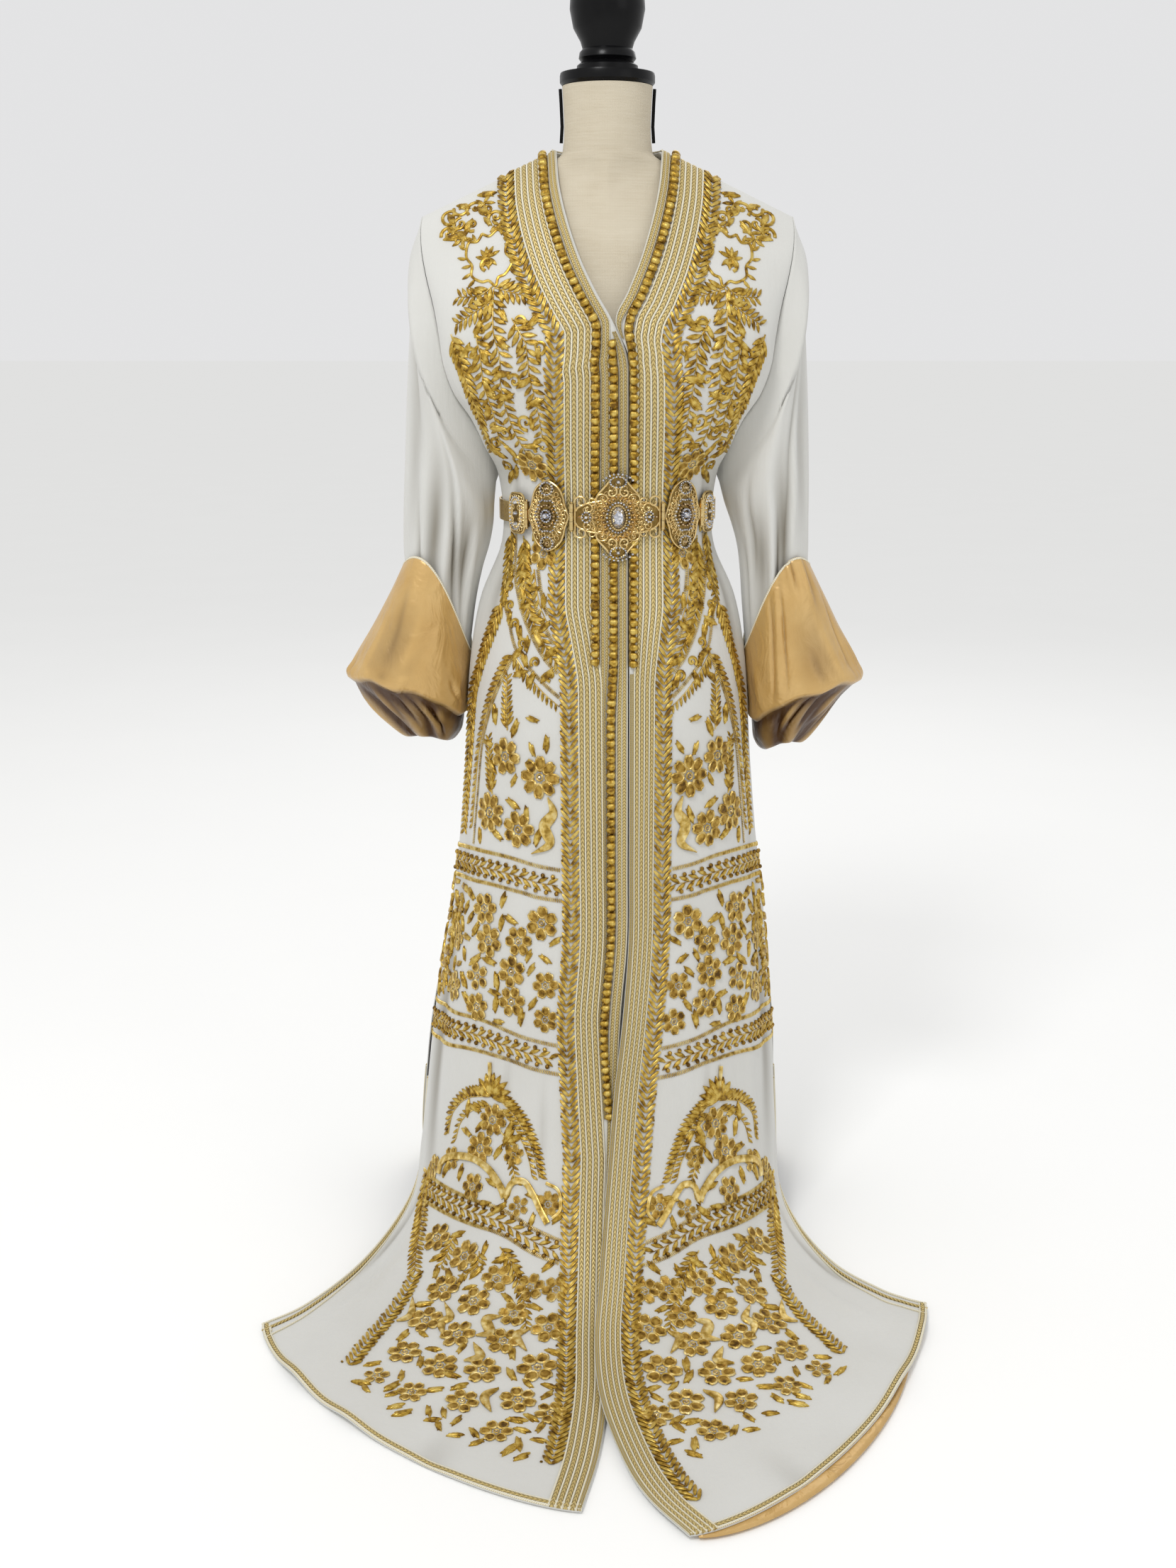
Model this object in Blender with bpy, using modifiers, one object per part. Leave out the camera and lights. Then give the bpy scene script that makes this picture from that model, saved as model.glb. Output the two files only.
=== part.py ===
"""Long kaftan with its belt, worn by a limbless dress form on a pole and a round base.

The front faces -Y and +X is the right-hand side of someone who looks at the front.
The origin is the centre of the base's underside, which stands on the floor at z = 0.
Every cloth piece is a thin wall. A panel is given by a table of cross-rows that run
from the centre-front edge to the side edge, and each row is a quarter of a rounded
(super)ellipse between those two edge points.
"""

import math

import bpy
import numpy as np

# Cloth
WALL = 0.0015          # crepe with its lining
SEAM = 0.0005          # half the gap left open at a seam
BAND_WALL = 0.0012     # braid band that lies on a panel
BAND_GAP = 0.0007      # air between a panel and what lies on it
SATIN_WALL = 0.0016
TRIM_WIDTH = 0.008     # braid along the hem and the slits
SHIFT = 0.0            # the whole kaftan hangs this far to +X of the form's axis
BODY_X = 0.004         # middle of the front's curve between the bust and the knees
BODY_TOP, BODY_END = 1.10, 0.30

# Belt
BELT_X = 0.012
BELT_Z = 0.909
BELT_HALF_WIDTH = 0.1300
BELT_FRONT = 0.1196
BELT_BACK = 0.0890
PLATE = 0.0030
STRAP_HEIGHT = 0.024
STRAP_WALL = 0.0020
HINGE_RADIUS = 0.0026
BELT_END = 0.1478      # way along the waist from the belt's centre to the strap's end

# Dress form
POLE_RADIUS = 0.0125
BASE_RADIUS = 0.140
BASE_HEIGHT = 0.022
TORSO_BOTTOM = 0.660
PIPING_RADIUS = 0.0022

# Upper rows of both front panels. Columns: height and y of the centre edge, x of the
# left and right centre edge, half width, y and height of the side edge, roundness.
FRONT_UPPER = (
    (1.3180, -0.000, -0.0590, 0.0630, 0.2140, -0.000, 1.2470, 2.0),
    (1.3165, -0.010, -0.0590, 0.0630, 0.2155, -0.009, 1.2445, 2.0),
    (1.3040, -0.025, -0.0580, 0.0620, 0.2165, -0.022, 1.2310, 2.0),
    (1.2770, -0.049, -0.0550, 0.0590, 0.2145, -0.039, 1.2060, 2.0),
    (1.2400, -0.077, -0.0460, 0.0510, 0.2085, -0.052, 1.1760, 2.1),
    (1.1970, -0.104, -0.0310, 0.0380, 0.2005, -0.060, 1.1440, 2.2),
    (1.1600, -0.124, -0.0130, 0.0230, 0.1945, -0.063, 1.1100, 2.3),
    (1.1280, -0.136, 0.0055, 0.0090, 0.1900, -0.063, 1.0780, 2.3),
    (1.0900, -0.139, 0.0220, 0.0235, 0.1790, -0.058, 1.0460, 2.3),
    (1.0500, -0.136, 0.0240, 0.0255, 0.1610, -0.048, 1.0180, 2.2),
    (1.0050, -0.126, 0.0240, 0.0255, 0.1460, -0.032, 0.9860, 2.1),
    (0.9600, -0.1155, 0.0240, 0.0255, 0.1315, -0.001, 0.9550, 2.0),
    (0.9100, -0.1130, 0.0240, 0.0255, 0.1265, -0.001, 0.9100, 2.0),
    (0.8600, -0.1170, 0.0240, 0.0255, 0.1310, -0.001, 0.8620, 2.0),
    (0.8000, -0.131, 0.0240, 0.0255, 0.1550, -0.001, 0.8020, 2.0),
    (0.7200, -0.147, 0.0240, 0.0255, 0.1680, -0.001, 0.7220, 2.0),
    (0.6100, -0.160, 0.0240, 0.0255, 0.1755, -0.001, 0.6120, 2.0),
    (0.5000, -0.170, 0.0240, 0.0255, 0.1870, -0.001, 0.5020, 2.0),
    (0.4100, -0.182, 0.0235, 0.0250, 0.2000, -0.001, 0.4120, 2.0),
)

# Lower rows, where the panels open, sweep forward and come to lie on the floor.
# Columns: height, y and x of the centre edge, x, y and height of the side edge, roundness.
LEFT_LOWER = (
    (0.3200, -0.199, 0.0160, -0.2160, -0.001, 0.3220, 2.00),
    (0.2350, -0.219, 0.0120, -0.2290, -0.004, 0.2380, 2.00),
    (0.1600, -0.252, 0.0090, -0.2365, -0.022, 0.1650, 1.95),
    (0.1000, -0.294, 0.0060, -0.2400, -0.055, 0.1050, 1.90),
    (0.0520, -0.347, 0.0040, -0.2460, -0.095, 0.0550, 1.80),
    (0.0200, -0.413, 0.0020, -0.2680, -0.158, 0.0280, 1.70),
    (0.0065, -0.494, 0.0010, -0.3060, -0.237, 0.0110, 1.60),
    (0.0032, -0.590, -0.0080, -0.3560, -0.310, 0.0040, 1.52),
    (0.0030, -0.675, -0.0250, -0.4010, -0.350, 0.0030, 1.44),
)
RIGHT_LOWER = (
    (0.3200, -0.206, 0.0180, 0.2080, -0.001, 0.3220, 2.00),
    (0.2360, -0.228, 0.0080, 0.2160, -0.004, 0.2380, 2.00),
    (0.1630, -0.262, 0.0010, 0.2185, -0.022, 0.1650, 1.95),
    (0.1050, -0.305, -0.0050, 0.2190, -0.055, 0.1050, 1.90),
    (0.0590, -0.358, -0.0100, 0.2200, -0.100, 0.0550, 1.80),
    (0.0280, -0.424, -0.0145, 0.2400, -0.170, 0.0300, 1.70),
    (0.0130, -0.506, -0.0080, 0.2780, -0.235, 0.0130, 1.60),
    (0.0080, -0.600, 0.0150, 0.3250, -0.282, 0.0080, 1.50),
    (0.0065, -0.660, 0.0400, 0.3520, -0.300, 0.0065, 1.50),
    (0.0060, -0.713, 0.0780, 0.3770, -0.312, 0.0060, 1.47),
)

# Half rows of the back panel: height and y at the centre, half width, y and height of
# the side edge, x of the middle. Its top row, the neckline with the shoulder seam, is
# made separately.
BACK_ROWS = (
    (1.3160, 0.062, 0.2155, 0.009, 1.2445, 0.000),
    (1.2980, 0.068, 0.2165, 0.022, 1.2310, 0.000),
    (1.2680, 0.078, 0.2145, 0.039, 1.2060, 0.000),
    (1.2280, 0.087, 0.2085, 0.050, 1.1760, 0.000),
    (1.1830, 0.092, 0.2005, 0.056, 1.1440, 0.000),
    (1.1410, 0.093, 0.1945, 0.058, 1.1100, 0.000),
    (1.1040, 0.091, 0.1900, 0.057, 1.0780, 0.000),
    (1.0690, 0.087, 0.1790, 0.052, 1.0460, 0.000),
    (1.0340, 0.084, 0.1610, 0.042, 1.0180, 0.000),
    (0.9950, 0.083, 0.1460, 0.027, 0.9860, 0.000),
    (0.9550, 0.084, 0.1315, 0.001, 0.9550, 0.000),
    (0.9100, 0.084, 0.1265, 0.001, 0.9100, 0.000),
    (0.8600, 0.092, 0.1310, 0.001, 0.8620, 0.000),
    (0.8000, 0.116, 0.1550, 0.001, 0.8020, 0.000),
    (0.7200, 0.139, 0.1680, 0.001, 0.7220, 0.000),
    (0.6100, 0.158, 0.1755, 0.001, 0.6120, 0.000),
    (0.5000, 0.172, 0.1870, 0.001, 0.5020, 0.000),
    (0.4100, 0.186, 0.2000, 0.001, 0.4120, 0.000),
    (0.3200, 0.203, 0.2130, 0.001, 0.3220, -0.004),
    (0.2350, 0.224, 0.2260, 0.003, 0.2380, -0.007),
    (0.1600, 0.252, 0.2320, 0.007, 0.1650, -0.010),
    (0.1000, 0.287, 0.2370, 0.015, 0.1050, -0.011),
    (0.0520, 0.330, 0.2400, 0.028, 0.0580, -0.011),
    (0.0200, 0.382, 0.2410, 0.048, 0.0270, -0.010),
    (0.0065, 0.442, 0.2380, 0.090, 0.0090, -0.008),
    (0.0030, 0.500, 0.2280, 0.160, 0.0030, -0.006),
)

# Where the braid band lies on each front panel, as distances from the centre edge:
# panel row, inner line of the stripes, outer line of the stripes.
LEFT_BAND = ((0, 0.022, 0.052), (7, 0.024, 0.054), (8, 0.044, 0.074), (14, 0.044, 0.073),
             (15, 0.031, 0.058), (19, 0.028, 0.055), (21, 0.012, 0.040), (27, 0.006, 0.034))
RIGHT_BAND = ((0, 0.022, 0.052), (7, 0.024, 0.054), (8, 0.009, 0.040), (14, 0.009, 0.040),
              (15, 0.006, 0.030), (19, 0.006, 0.028), (28, 0.006, 0.030))

# Large soft folds of a front panel: place across (0 at the centre edge, 1 at the side),
# half width of the fold, first and last row, depth (a ridge is positive).
LEFT_FOLDS = ((0.90, 0.060, 9, 13, 0.0030), (0.72, 0.050, 12, 15, -0.0030),
              (0.88, 0.050, 12, 19, 0.0050), (0.64, 0.060, 16, 23, 0.0040),
              (0.80, 0.055, 16, 24, -0.0045), (0.42, 0.070, 20, 27, 0.0055),
              (0.70, 0.060, 24, 29, 0.0080), (0.54, 0.050, 25, 30, 0.0060))
RIGHT_FOLDS = ((0.88, 0.060, 9, 13, 0.0030), (0.76, 0.050, 12, 16, -0.0030),
               (0.90, 0.050, 12, 19, 0.0045), (0.60, 0.060, 17, 24, 0.0040),
               (0.78, 0.055, 16, 23, -0.0040), (0.46, 0.070, 21, 28, 0.0050),
               (0.66, 0.060, 24, 31, 0.0070), (0.84, 0.050, 25, 30, 0.0055))
BACK_FOLDS = ((0.16, 0.060, 10, 19, -0.0050), (0.38, 0.070, 11, 24, 0.0080),
              (0.60, 0.060, 12, 22, -0.0060), (0.82, 0.060, 12, 25, 0.0070))

# Sleeve rings below the armhole: outer point (x, z), inner point (x, z), half depth, and
# how far the middle of the ring swings out, round the armhole's curve.
LEFT_SLEEVE = (
    (0.2245, 1.190, 0.1370, 0.9400, 0.0670, 0.032),
    (0.2320, 1.130, 0.1395, 0.9160, 0.0680, 0.014),
    (0.2395, 1.040, 0.1410, 0.8900, 0.0670, 0.000),
    (0.2440, 0.960, 0.1460, 0.8640, 0.0640, 0.000),
    (0.2465, 0.900, 0.1550, 0.8350, 0.0600, 0.000),
    (0.2475, 0.855, 0.1650, 0.7900, 0.0560, 0.000),
    (0.2450, 0.815, 0.1755, 0.7160, 0.0520, 0.000),
)
RIGHT_SLEEVE = (
    (0.2265, 1.190, 0.1375, 0.9400, 0.0670, 0.032),
    (0.2325, 1.130, 0.1440, 0.9160, 0.0680, 0.014),
    (0.2390, 1.040, 0.1530, 0.8900, 0.0670, 0.000),
    (0.2425, 0.960, 0.1600, 0.8640, 0.0640, 0.000),
    (0.2440, 0.900, 0.1640, 0.8350, 0.0600, 0.000),
    (0.2450, 0.855, 0.1680, 0.7900, 0.0560, 0.000),
    (0.2440, 0.815, 0.1755, 0.7160, 0.0520, 0.000),
)
# Soft troughs down a sleeve: angle from its outer side towards the front, half width in
# degrees, first and last ring, depth.
SLEEVE_FOLDS = ((80, 13, 2.0, 7.6, -0.0085), (122, 14, 2.6, 7.4, -0.0070), (42, 16, 0.8, 6.0, -0.0040),
                (205, 16, 1.5, 7.4, -0.0060), (255, 15, 2.0, 7.4, -0.0075), (310, 18, 1.0, 6.5, -0.0050))

# Turned-back satin cuffs, top edge to the rim inside: outer point, inner point, half
# depth, and how much higher the ring runs at the front and the back.
LEFT_CUFF = (
    (0.2490, 0.8400, 0.1705, 0.7320, 0.0610, 0.056),
    (0.2680, 0.8020, 0.1715, 0.7130, 0.0700, 0.046),
    (0.2900, 0.7600, 0.1730, 0.6930, 0.0790, 0.030),
    (0.3140, 0.7210, 0.1745, 0.6740, 0.0850, 0.025),
    (0.3230, 0.7040, 0.1755, 0.6590, 0.0860, 0.021),
    (0.3110, 0.6800, 0.1775, 0.6440, 0.0800, 0.020),
    (0.2860, 0.6500, 0.1815, 0.6300, 0.0680, 0.018),
    (0.2580, 0.6260, 0.1920, 0.6190, 0.0480, 0.010),
    (0.2440, 0.6340, 0.2000, 0.6300, 0.0340, 0.006),
    (0.2420, 0.6640, 0.1980, 0.6580, 0.0340, 0.000),
)
RIGHT_CUFF = (
    (0.2468, 0.8400, 0.1705, 0.7340, 0.0600, 0.054),
    (0.2680, 0.7980, 0.1715, 0.7140, 0.0700, 0.045),
    (0.2870, 0.7570, 0.1735, 0.6920, 0.0780, 0.030),
    (0.3060, 0.7210, 0.1755, 0.6690, 0.0840, 0.024),
    (0.3170, 0.7010, 0.1770, 0.6520, 0.0850, 0.020),
    (0.2980, 0.6770, 0.1790, 0.6350, 0.0770, 0.022),
    (0.2740, 0.6450, 0.1820, 0.6180, 0.0650, 0.021),
    (0.2500, 0.6190, 0.1910, 0.6070, 0.0480, 0.012),
    (0.2390, 0.6240, 0.1990, 0.6180, 0.0340, 0.006),
    (0.2360, 0.6540, 0.1970, 0.6460, 0.0340, 0.000),
)

# Torso of the dress form: height, half width, front and back depth, roundness.
TORSO = (
    (1.3880, 0.0520, 0.0520, 0.0520, 2.0), (1.3700, 0.0510, 0.0505, 0.0505, 2.0),
    (1.3450, 0.0500, 0.0500, 0.0505, 2.0), (1.3220, 0.0515, 0.0500, 0.0510, 2.0),
    (1.3120, 0.0555, 0.0505, 0.0520, 1.9), (1.3020, 0.0760, 0.0515, 0.0560, 1.4),
    (1.2900, 0.1085, 0.0535, 0.0600, 1.15), (1.2740, 0.1450, 0.0580, 0.0650, 1.15),
    (1.2560, 0.1850, 0.0650, 0.0710, 1.25),
    (1.2360, 0.1940, 0.0740, 0.0770, 1.4), (1.2000, 0.1900, 0.0910, 0.0820, 1.7),
    (1.1500, 0.1750, 0.1090, 0.0840, 2.0), (1.1000, 0.1600, 0.1220, 0.0820, 2.0),
    (1.0500, 0.1450, 0.1200, 0.0780, 2.0), (1.0000, 0.1300, 0.1100, 0.0760, 2.0),
    (0.9500, 0.1200, 0.1020, 0.0750, 2.0), (0.9100, 0.1170, 0.1000, 0.0750, 2.0),
    (0.8600, 0.1230, 0.1040, 0.0820, 2.0), (0.8000, 0.1400, 0.1160, 0.1000, 2.0),
    (0.7300, 0.1520, 0.1240, 0.1120, 2.0), (0.6600, 0.1480, 0.1200, 0.1080, 2.0),
)

# Turned cap and finial, radius and height from the top down the outer side.
CAP_PROFILE = ((0.0000, 1.5460), (0.0090, 1.5440), (0.0120, 1.5380), (0.0085, 1.5310), (0.0200, 1.5250),
               (0.0340, 1.5100), (0.0420, 1.4880), (0.0430, 1.4700), (0.0390, 1.4500), (0.0310, 1.4360),
               (0.0285, 1.4280), (0.0320, 1.4240), (0.0330, 1.4180), (0.0300, 1.4140), (0.0350, 1.4100),
               (0.0360, 1.4030), (0.0540, 1.4020), (0.0548, 1.3990), (0.0548, 1.3920), (0.0520, 1.3886),
               (0.0000, 1.3886))


def spline_row(table, place):
    """Row of a table at a fractional row number, smooth through every row."""
    last = len(table) - 1
    place = min(max(place, 0.0), float(last))
    first = min(int(place), last - 1)
    t = place - first
    p1, p2 = np.array(table[first]), np.array(table[first + 1])
    p0 = np.array(table[first - 1]) if first > 0 else 2 * p1 - p2
    p3 = np.array(table[first + 2]) if first + 2 <= last else 2 * p2 - p1
    return 0.5 * (2 * p1 + (p2 - p0) * t + (2 * p0 - 5 * p1 + 4 * p2 - p3) * t ** 2
                  + (3 * p1 - p0 - 3 * p2 + p3) * t ** 3)


def bump(value, centre, half_width):
    return math.exp(-((value - centre) / half_width) ** 2)


def fade(value, first, last):
    """Zero outside the two ends and a smooth arch between them."""
    if not first < value < last:
        return 0.0
    return math.sin(math.pi * (value - first) / (last - first)) ** 2


def folds_at(folds, across, row):
    return sum(depth * bump(across, place, width) * fade(row, first, last)
               for place, width, first, last, depth in folds)


class Panel:
    """A cloth panel as a surface of (across, row), with its folds along its normal."""

    def __init__(self, table, folds, turn):
        self.table = table
        self.folds = folds
        self.turn = turn

    def smooth(self, across, row):
        cx, cy, cz, sx, sy, sz, roundness, apex = spline_row(self.table, row)
        ratio = (cx - apex) / (sx - apex)
        start = math.copysign(math.asin(min(abs(ratio) ** (roundness / 2), 1.0)), ratio)
        angle = start + (math.pi / 2 - start) * across
        along = math.copysign(abs(math.sin(angle)) ** (2 / roundness), math.sin(angle))
        back = 1 - max(math.cos(angle), 0.0) ** (2 / roundness)
        x = apex + (sx - apex) * along
        return np.array((x, cy + (sy - cy) * back, cz + (sz - cz) * (x - cx) / (sx - cx)))

    def normal(self, across, row):
        """Outward direction, from a step across and a step down the panel."""
        step = 0.004
        low, high = max(across - step, 0.0), min(across + step, 1.0)
        up, down = max(row - 0.05, 0.0), min(row + 0.05, len(self.table) - 1)
        across_step = self.smooth(high, row) - self.smooth(low, row)
        down_step = self.smooth(across, down) - self.smooth(across, up)
        outward = np.cross(down_step, across_step) * self.turn
        return outward / max(np.linalg.norm(outward), 1e-12)

    def point(self, across, row, lift=0.0):
        raised = lift + folds_at(self.folds, across, row)
        return self.smooth(across, row) + self.normal(across, row) * raised

    def across_at(self, distance, row):
        """Place across the row that lies this far from the centre edge."""
        places = np.linspace(0.0, 1.0, 121)
        line = np.array([self.smooth(place, row) for place in places])
        run = np.concatenate(([0.0], np.cumsum(np.linalg.norm(np.diff(line, axis=0), axis=1))))
        return float(np.interp(distance, run, places))


def front_panel(left):
    side = -1 if left else 1
    rows = []
    for cz, cy, x_left, x_right, half, sy, sz, roundness in FRONT_UPPER:
        edge = x_left if left else x_right
        apex = BODY_X if cz < BODY_TOP else edge
        rows.append((edge, cy, cz, side * half + SHIFT, sy, sz, roundness, apex))
    for cz, cy, cx, sx, sy, sz, roundness in (LEFT_LOWER if left else RIGHT_LOWER):
        apex = BODY_X if cz > BODY_END else cx
        rows.append((cx, cy, cz, sx, sy, sz, roundness, apex))
    rows[0] = rows[0][:1] + (-SEAM,) + rows[0][2:4] + (-SEAM,) + rows[0][5:]
    return Panel(rows, LEFT_FOLDS if left else RIGHT_FOLDS, side)


class BackPanel(Panel):
    """The back, across from -1 to 1. Its top row is the neckline and the shoulders."""

    NECK = 0.30

    def __init__(self):
        rows = [(0.0, 0.060, 1.3200, 0.214, SEAM, 1.2470, 2.0, 0.0)]
        rows += [(0.0, cy, cz, half, sy, sz, 2.0, 0.0) for cz, cy, half, sy, sz, _ in BACK_ROWS]
        self.middles = [(0.0,)] + [(line[5],) for line in BACK_ROWS]
        super().__init__(rows, BACK_FOLDS, 1)

    def smooth(self, across, row):
        side = 1 if across >= 0 else -1
        reach = abs(across)
        body = super().smooth(reach, row)
        if row < 2.0:
            neck = min(reach / self.NECK, 1.0) * math.pi / 2
            beyond = max(reach - self.NECK, 0.0) / (1 - self.NECK)
            top = np.array((0.061 * math.sin(neck) + 0.153 * beyond,
                            SEAM + 0.060 * math.cos(neck),
                            1.3200 - 0.002 * math.sin(neck) - 0.071 * beyond))
            share = (1 - row / 2.0) ** 1.6
            body = top * share + body * (1 - share)
        middle = spline_row(self.middles, row)[0] + SHIFT * (0.5 + 0.5 * reach)
        return np.array((side * body[0] + middle, body[1], body[2]))

    def normal(self, across, row):
        step = 0.004
        low, high = max(across - step, -1.0), min(across + step, 1.0)
        up, down = max(row - 0.05, 0.0), min(row + 0.05, len(self.table) - 1)
        across_step = self.smooth(high, row) - self.smooth(low, row)
        down_step = self.smooth(across, down) - self.smooth(across, up)
        outward = np.cross(across_step, down_step)
        return outward / max(np.linalg.norm(outward), 1e-12)

    def point(self, across, row, lift=0.0):
        raised = lift + folds_at(self.folds, abs(across), row)
        return self.smooth(across, row) + self.normal(across, row) * raised


def armhole(side, angle):
    """Armhole edge: angle 0 at the shoulder, 180 degrees at the underarm, front first."""
    rows = [(half, y, z) for _, _, _, _, half, y, z, _ in FRONT_UPPER[:12]]
    rows[0] = (0.2140, 0.0, 1.2470)
    rows[11] = (0.1315, 0.0, 0.9550)
    turn = angle % 360.0
    front = turn <= 180.0
    if not front:
        turn = 360.0 - turn
        rows = [(0.2140, 0.0, 1.2470)] + [(half, y, z) for _, _, half, y, z, _ in BACK_ROWS[:10]]
        rows.append((0.1315, 0.0, 0.9550))
    x, y, z = spline_row(rows, turn / 180.0 * 11)
    return np.array((side * x + SHIFT, y, z))


def ring_point(side, row, angle, swing=0.0, rise=0.0):
    """Point of an upright tube ring given by its outer and inner point and half depth."""
    outer_x, outer_z, inner_x, inner_z, depth = row
    c, s = math.cos(math.radians(angle)), math.sin(math.radians(angle))
    x = (outer_x + inner_x) / 2 + (outer_x - inner_x) / 2 * c + swing * s * s
    z = (outer_z + inner_z) / 2 + (outer_z - inner_z) / 2 * c + (rise - 0.3 * swing) * s * s
    return np.array((side * x + SHIFT, -depth * s, z))


def sleeve_point(side, angle, ring):
    """Ring 0 is the armhole seam, held clear of the panel. Later rings follow the table."""
    table = LEFT_SLEEVE if side < 0 else RIGHT_SLEEVE
    down = ring_point(side, table[0][:5], angle, swing=table[0][5])
    if ring < 1.0:
        start = armhole(side, angle)
        away = down - start
        start = start + away / np.linalg.norm(away) * 0.0050
        base = start * (1 - ring) + down * ring
    else:
        row = spline_row(table, ring - 1)
        base = ring_point(side, row[:5], angle, swing=row[5])
    push = sum(depth * bump((angle - place + 180) % 360 - 180, 0, width) * fade(ring, first, last)
               for place, width, first, last, depth in SLEEVE_FOLDS)
    c, s = math.cos(math.radians(angle)), math.sin(math.radians(angle))
    return base + np.array((side * c, -s, 0.0)) * push


def cuff_point(side, table, angle, ring):
    row = spline_row(table, ring)
    base = ring_point(side, row[:5], angle, rise=row[5])
    gather = fade(ring, 3.6, 9.6) * (0.25 + 0.75 * math.cos(math.radians(angle / 2)) ** 2)
    wave = 0.0042 * math.cos(math.radians(7 * angle + 20 * ring)) * gather
    wave += 0.0025 * math.cos(math.radians(3 * angle - 35)) * fade(ring, 0.6, 5.5)
    c, s = math.cos(math.radians(angle)), math.sin(math.radians(angle))
    return base + np.array((side * c, -s, 0.0)) * wave


def clear_scene():
    for item in list(bpy.data.objects):
        bpy.data.objects.remove(item, do_unlink=True)


def make_collection(name):
    group = bpy.data.collections.new(name)
    bpy.context.scene.collection.children.link(group)
    return group


def make_material(name, colour, roughness, metallic=0.0):
    material = bpy.data.materials.new(name)
    material.use_nodes = True
    shader = material.node_tree.nodes["Principled BSDF"]
    shader.inputs["Base Color"].default_value = (*colour, 1.0)
    shader.inputs["Roughness"].default_value = roughness
    shader.inputs["Metallic"].default_value = metallic
    return material


def finish_object(name, mesh, group, material):
    item = bpy.data.objects.new(name, mesh)
    group.objects.link(item)
    mesh.materials.append(material)
    mesh.shade_smooth()
    mesh.set_sharp_from_angle(angle=math.radians(40))
    return item


def add_grid(name, points, group, material, wall, wrap=False, flip=False):
    """Open surface through a grid of points, given its wall by Solidify on the inside."""
    rows, columns = len(points), len(points[0])
    vertices = [tuple(point) for row in points for point in row]
    faces = []
    for i in range(rows - 1):
        for j in range(columns if wrap else columns - 1):
            k = (j + 1) % columns
            face = (i * columns + j, (i + 1) * columns + j, (i + 1) * columns + k, i * columns + k)
            faces.append(face[::-1] if flip else face)
    mesh = bpy.data.meshes.new(name)
    mesh.from_pydata(vertices, [], faces)
    item = finish_object(name, mesh, group, material)
    solid = item.modifiers.new("wall", "SOLIDIFY")
    solid.thickness = wall
    solid.offset = -1.0
    return item


def panel_columns(panel, band, row, count):
    """Places across a front panel: its edge, both lines of the braid band, then even."""
    inner = float(np.interp(row, [line[0] for line in band], [line[1] for line in band]))
    outer = float(np.interp(row, [line[0] for line in band], [line[2] for line in band]))
    first, second = panel.across_at(inner, row), panel.across_at(outer, row)
    return [0.0, first, second] + list(np.linspace(second, 1.0, count + 1)[1:])


def row_places(panel, halves):
    """All the rows of a panel, with a half row between where it curves most."""
    last = len(panel.table) - 1
    places = []
    for row in range(last):
        places.append(float(row))
        if any(first <= row < end for first, end in halves):
            places.append(row + 0.5)
    return places + [float(last)]


def build_front(left, group, crepe, braid):
    side = "left" if left else "right"
    panel = front_panel(left)
    band = LEFT_BAND if left else RIGHT_BAND
    places = row_places(panel, ((2, 5), (13, 15), (18, 27)))
    columns = [panel_columns(panel, band, row, 8) for row in places]
    cloth = [[panel.point(across, row) for across in line] for line, row in zip(columns, places)]
    add_grid("front_" + side, cloth, group, crepe, WALL, flip=left)
    lift = BAND_GAP + BAND_WALL
    strip = [[panel.point(across, row, lift) for across in line[:3]]
             for line, row in zip(columns, places)]
    add_grid("braid_band_" + side, strip, group, braid, BAND_WALL, flip=left)
    return panel


def build_back(group, crepe):
    panel = BackPanel()
    places = row_places(panel, ((0, 3), (20, 24)))
    columns = np.linspace(-1.0, 1.0, 17)
    cloth = [[panel.point(across, row) for across in columns] for row in places]
    add_grid("back", cloth, group, crepe, WALL, flip=True)
    return panel


def build_neck_band(panel, group, braid):
    """The band goes on round the back of the neck, on the top rows of the back panel."""
    lift = BAND_GAP + BAND_WALL + 0.0021
    columns = np.linspace(-0.29, 0.29, 13)
    rows = (0.0, 0.5, 1.0, 1.5)
    strip = [[panel.point(across, row, lift) for across in columns] for row in rows]
    add_grid("braid_band_neck", strip, group, braid, BAND_WALL, flip=True)


def build_sleeve(left, group, crepe):
    side = -1 if left else 1
    angles = [360.0 * step / 22 for step in range(22)]
    rings = (0.0, 0.5, 1.0, 2.0, 3.0, 4.0, 5.0, 6.0, 7.0)
    points = [[sleeve_point(side, angle, ring) for angle in angles] for ring in rings]
    add_grid("sleeve_left" if left else "sleeve_right", points, group, crepe, WALL, wrap=True, flip=left)


def build_cuff(left, group, satin):
    side = -1 if left else 1
    table = LEFT_CUFF if left else RIGHT_CUFF
    angles = [360.0 * step / 24 for step in range(24)]
    rings = (0.0, 1.0, 2.0, 3.0, 3.6, 4.2, 5.0, 6.0, 7.0, 7.5, 8.0, 9.0)
    points = [[cuff_point(side, table, angle, ring) for angle in angles] for ring in rings]
    add_grid("cuff_left" if left else "cuff_right", points, group, satin, SATIN_WALL, wrap=True, flip=left)


def build_lining_edge(panel, group, satin):
    """Gold lining that shows past the right hem. It lies flat, under the panel's edge."""
    last = len(panel.table) - 1
    places = np.linspace(0.05, 0.86, 17)
    inner, outer = [], []
    for across in places:
        edge = panel.smooth(across, last)
        ahead = panel.smooth(min(across + 0.01, 1.0), last) - panel.smooth(across - 0.01, last)
        out = np.array((ahead[1], -ahead[0], 0.0))
        out /= np.linalg.norm(out)
        reach = 0.018 * math.sin(math.pi * min(across / 0.72, 1.0)) ** 0.8 - 0.004
        inner.append((*(edge - out * 0.030)[:2], 0.0041))
        outer.append((*(edge + out * reach)[:2], 0.0041))
    add_grid("lining_edge_right", [inner, outer], group, satin, WALL)


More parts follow.
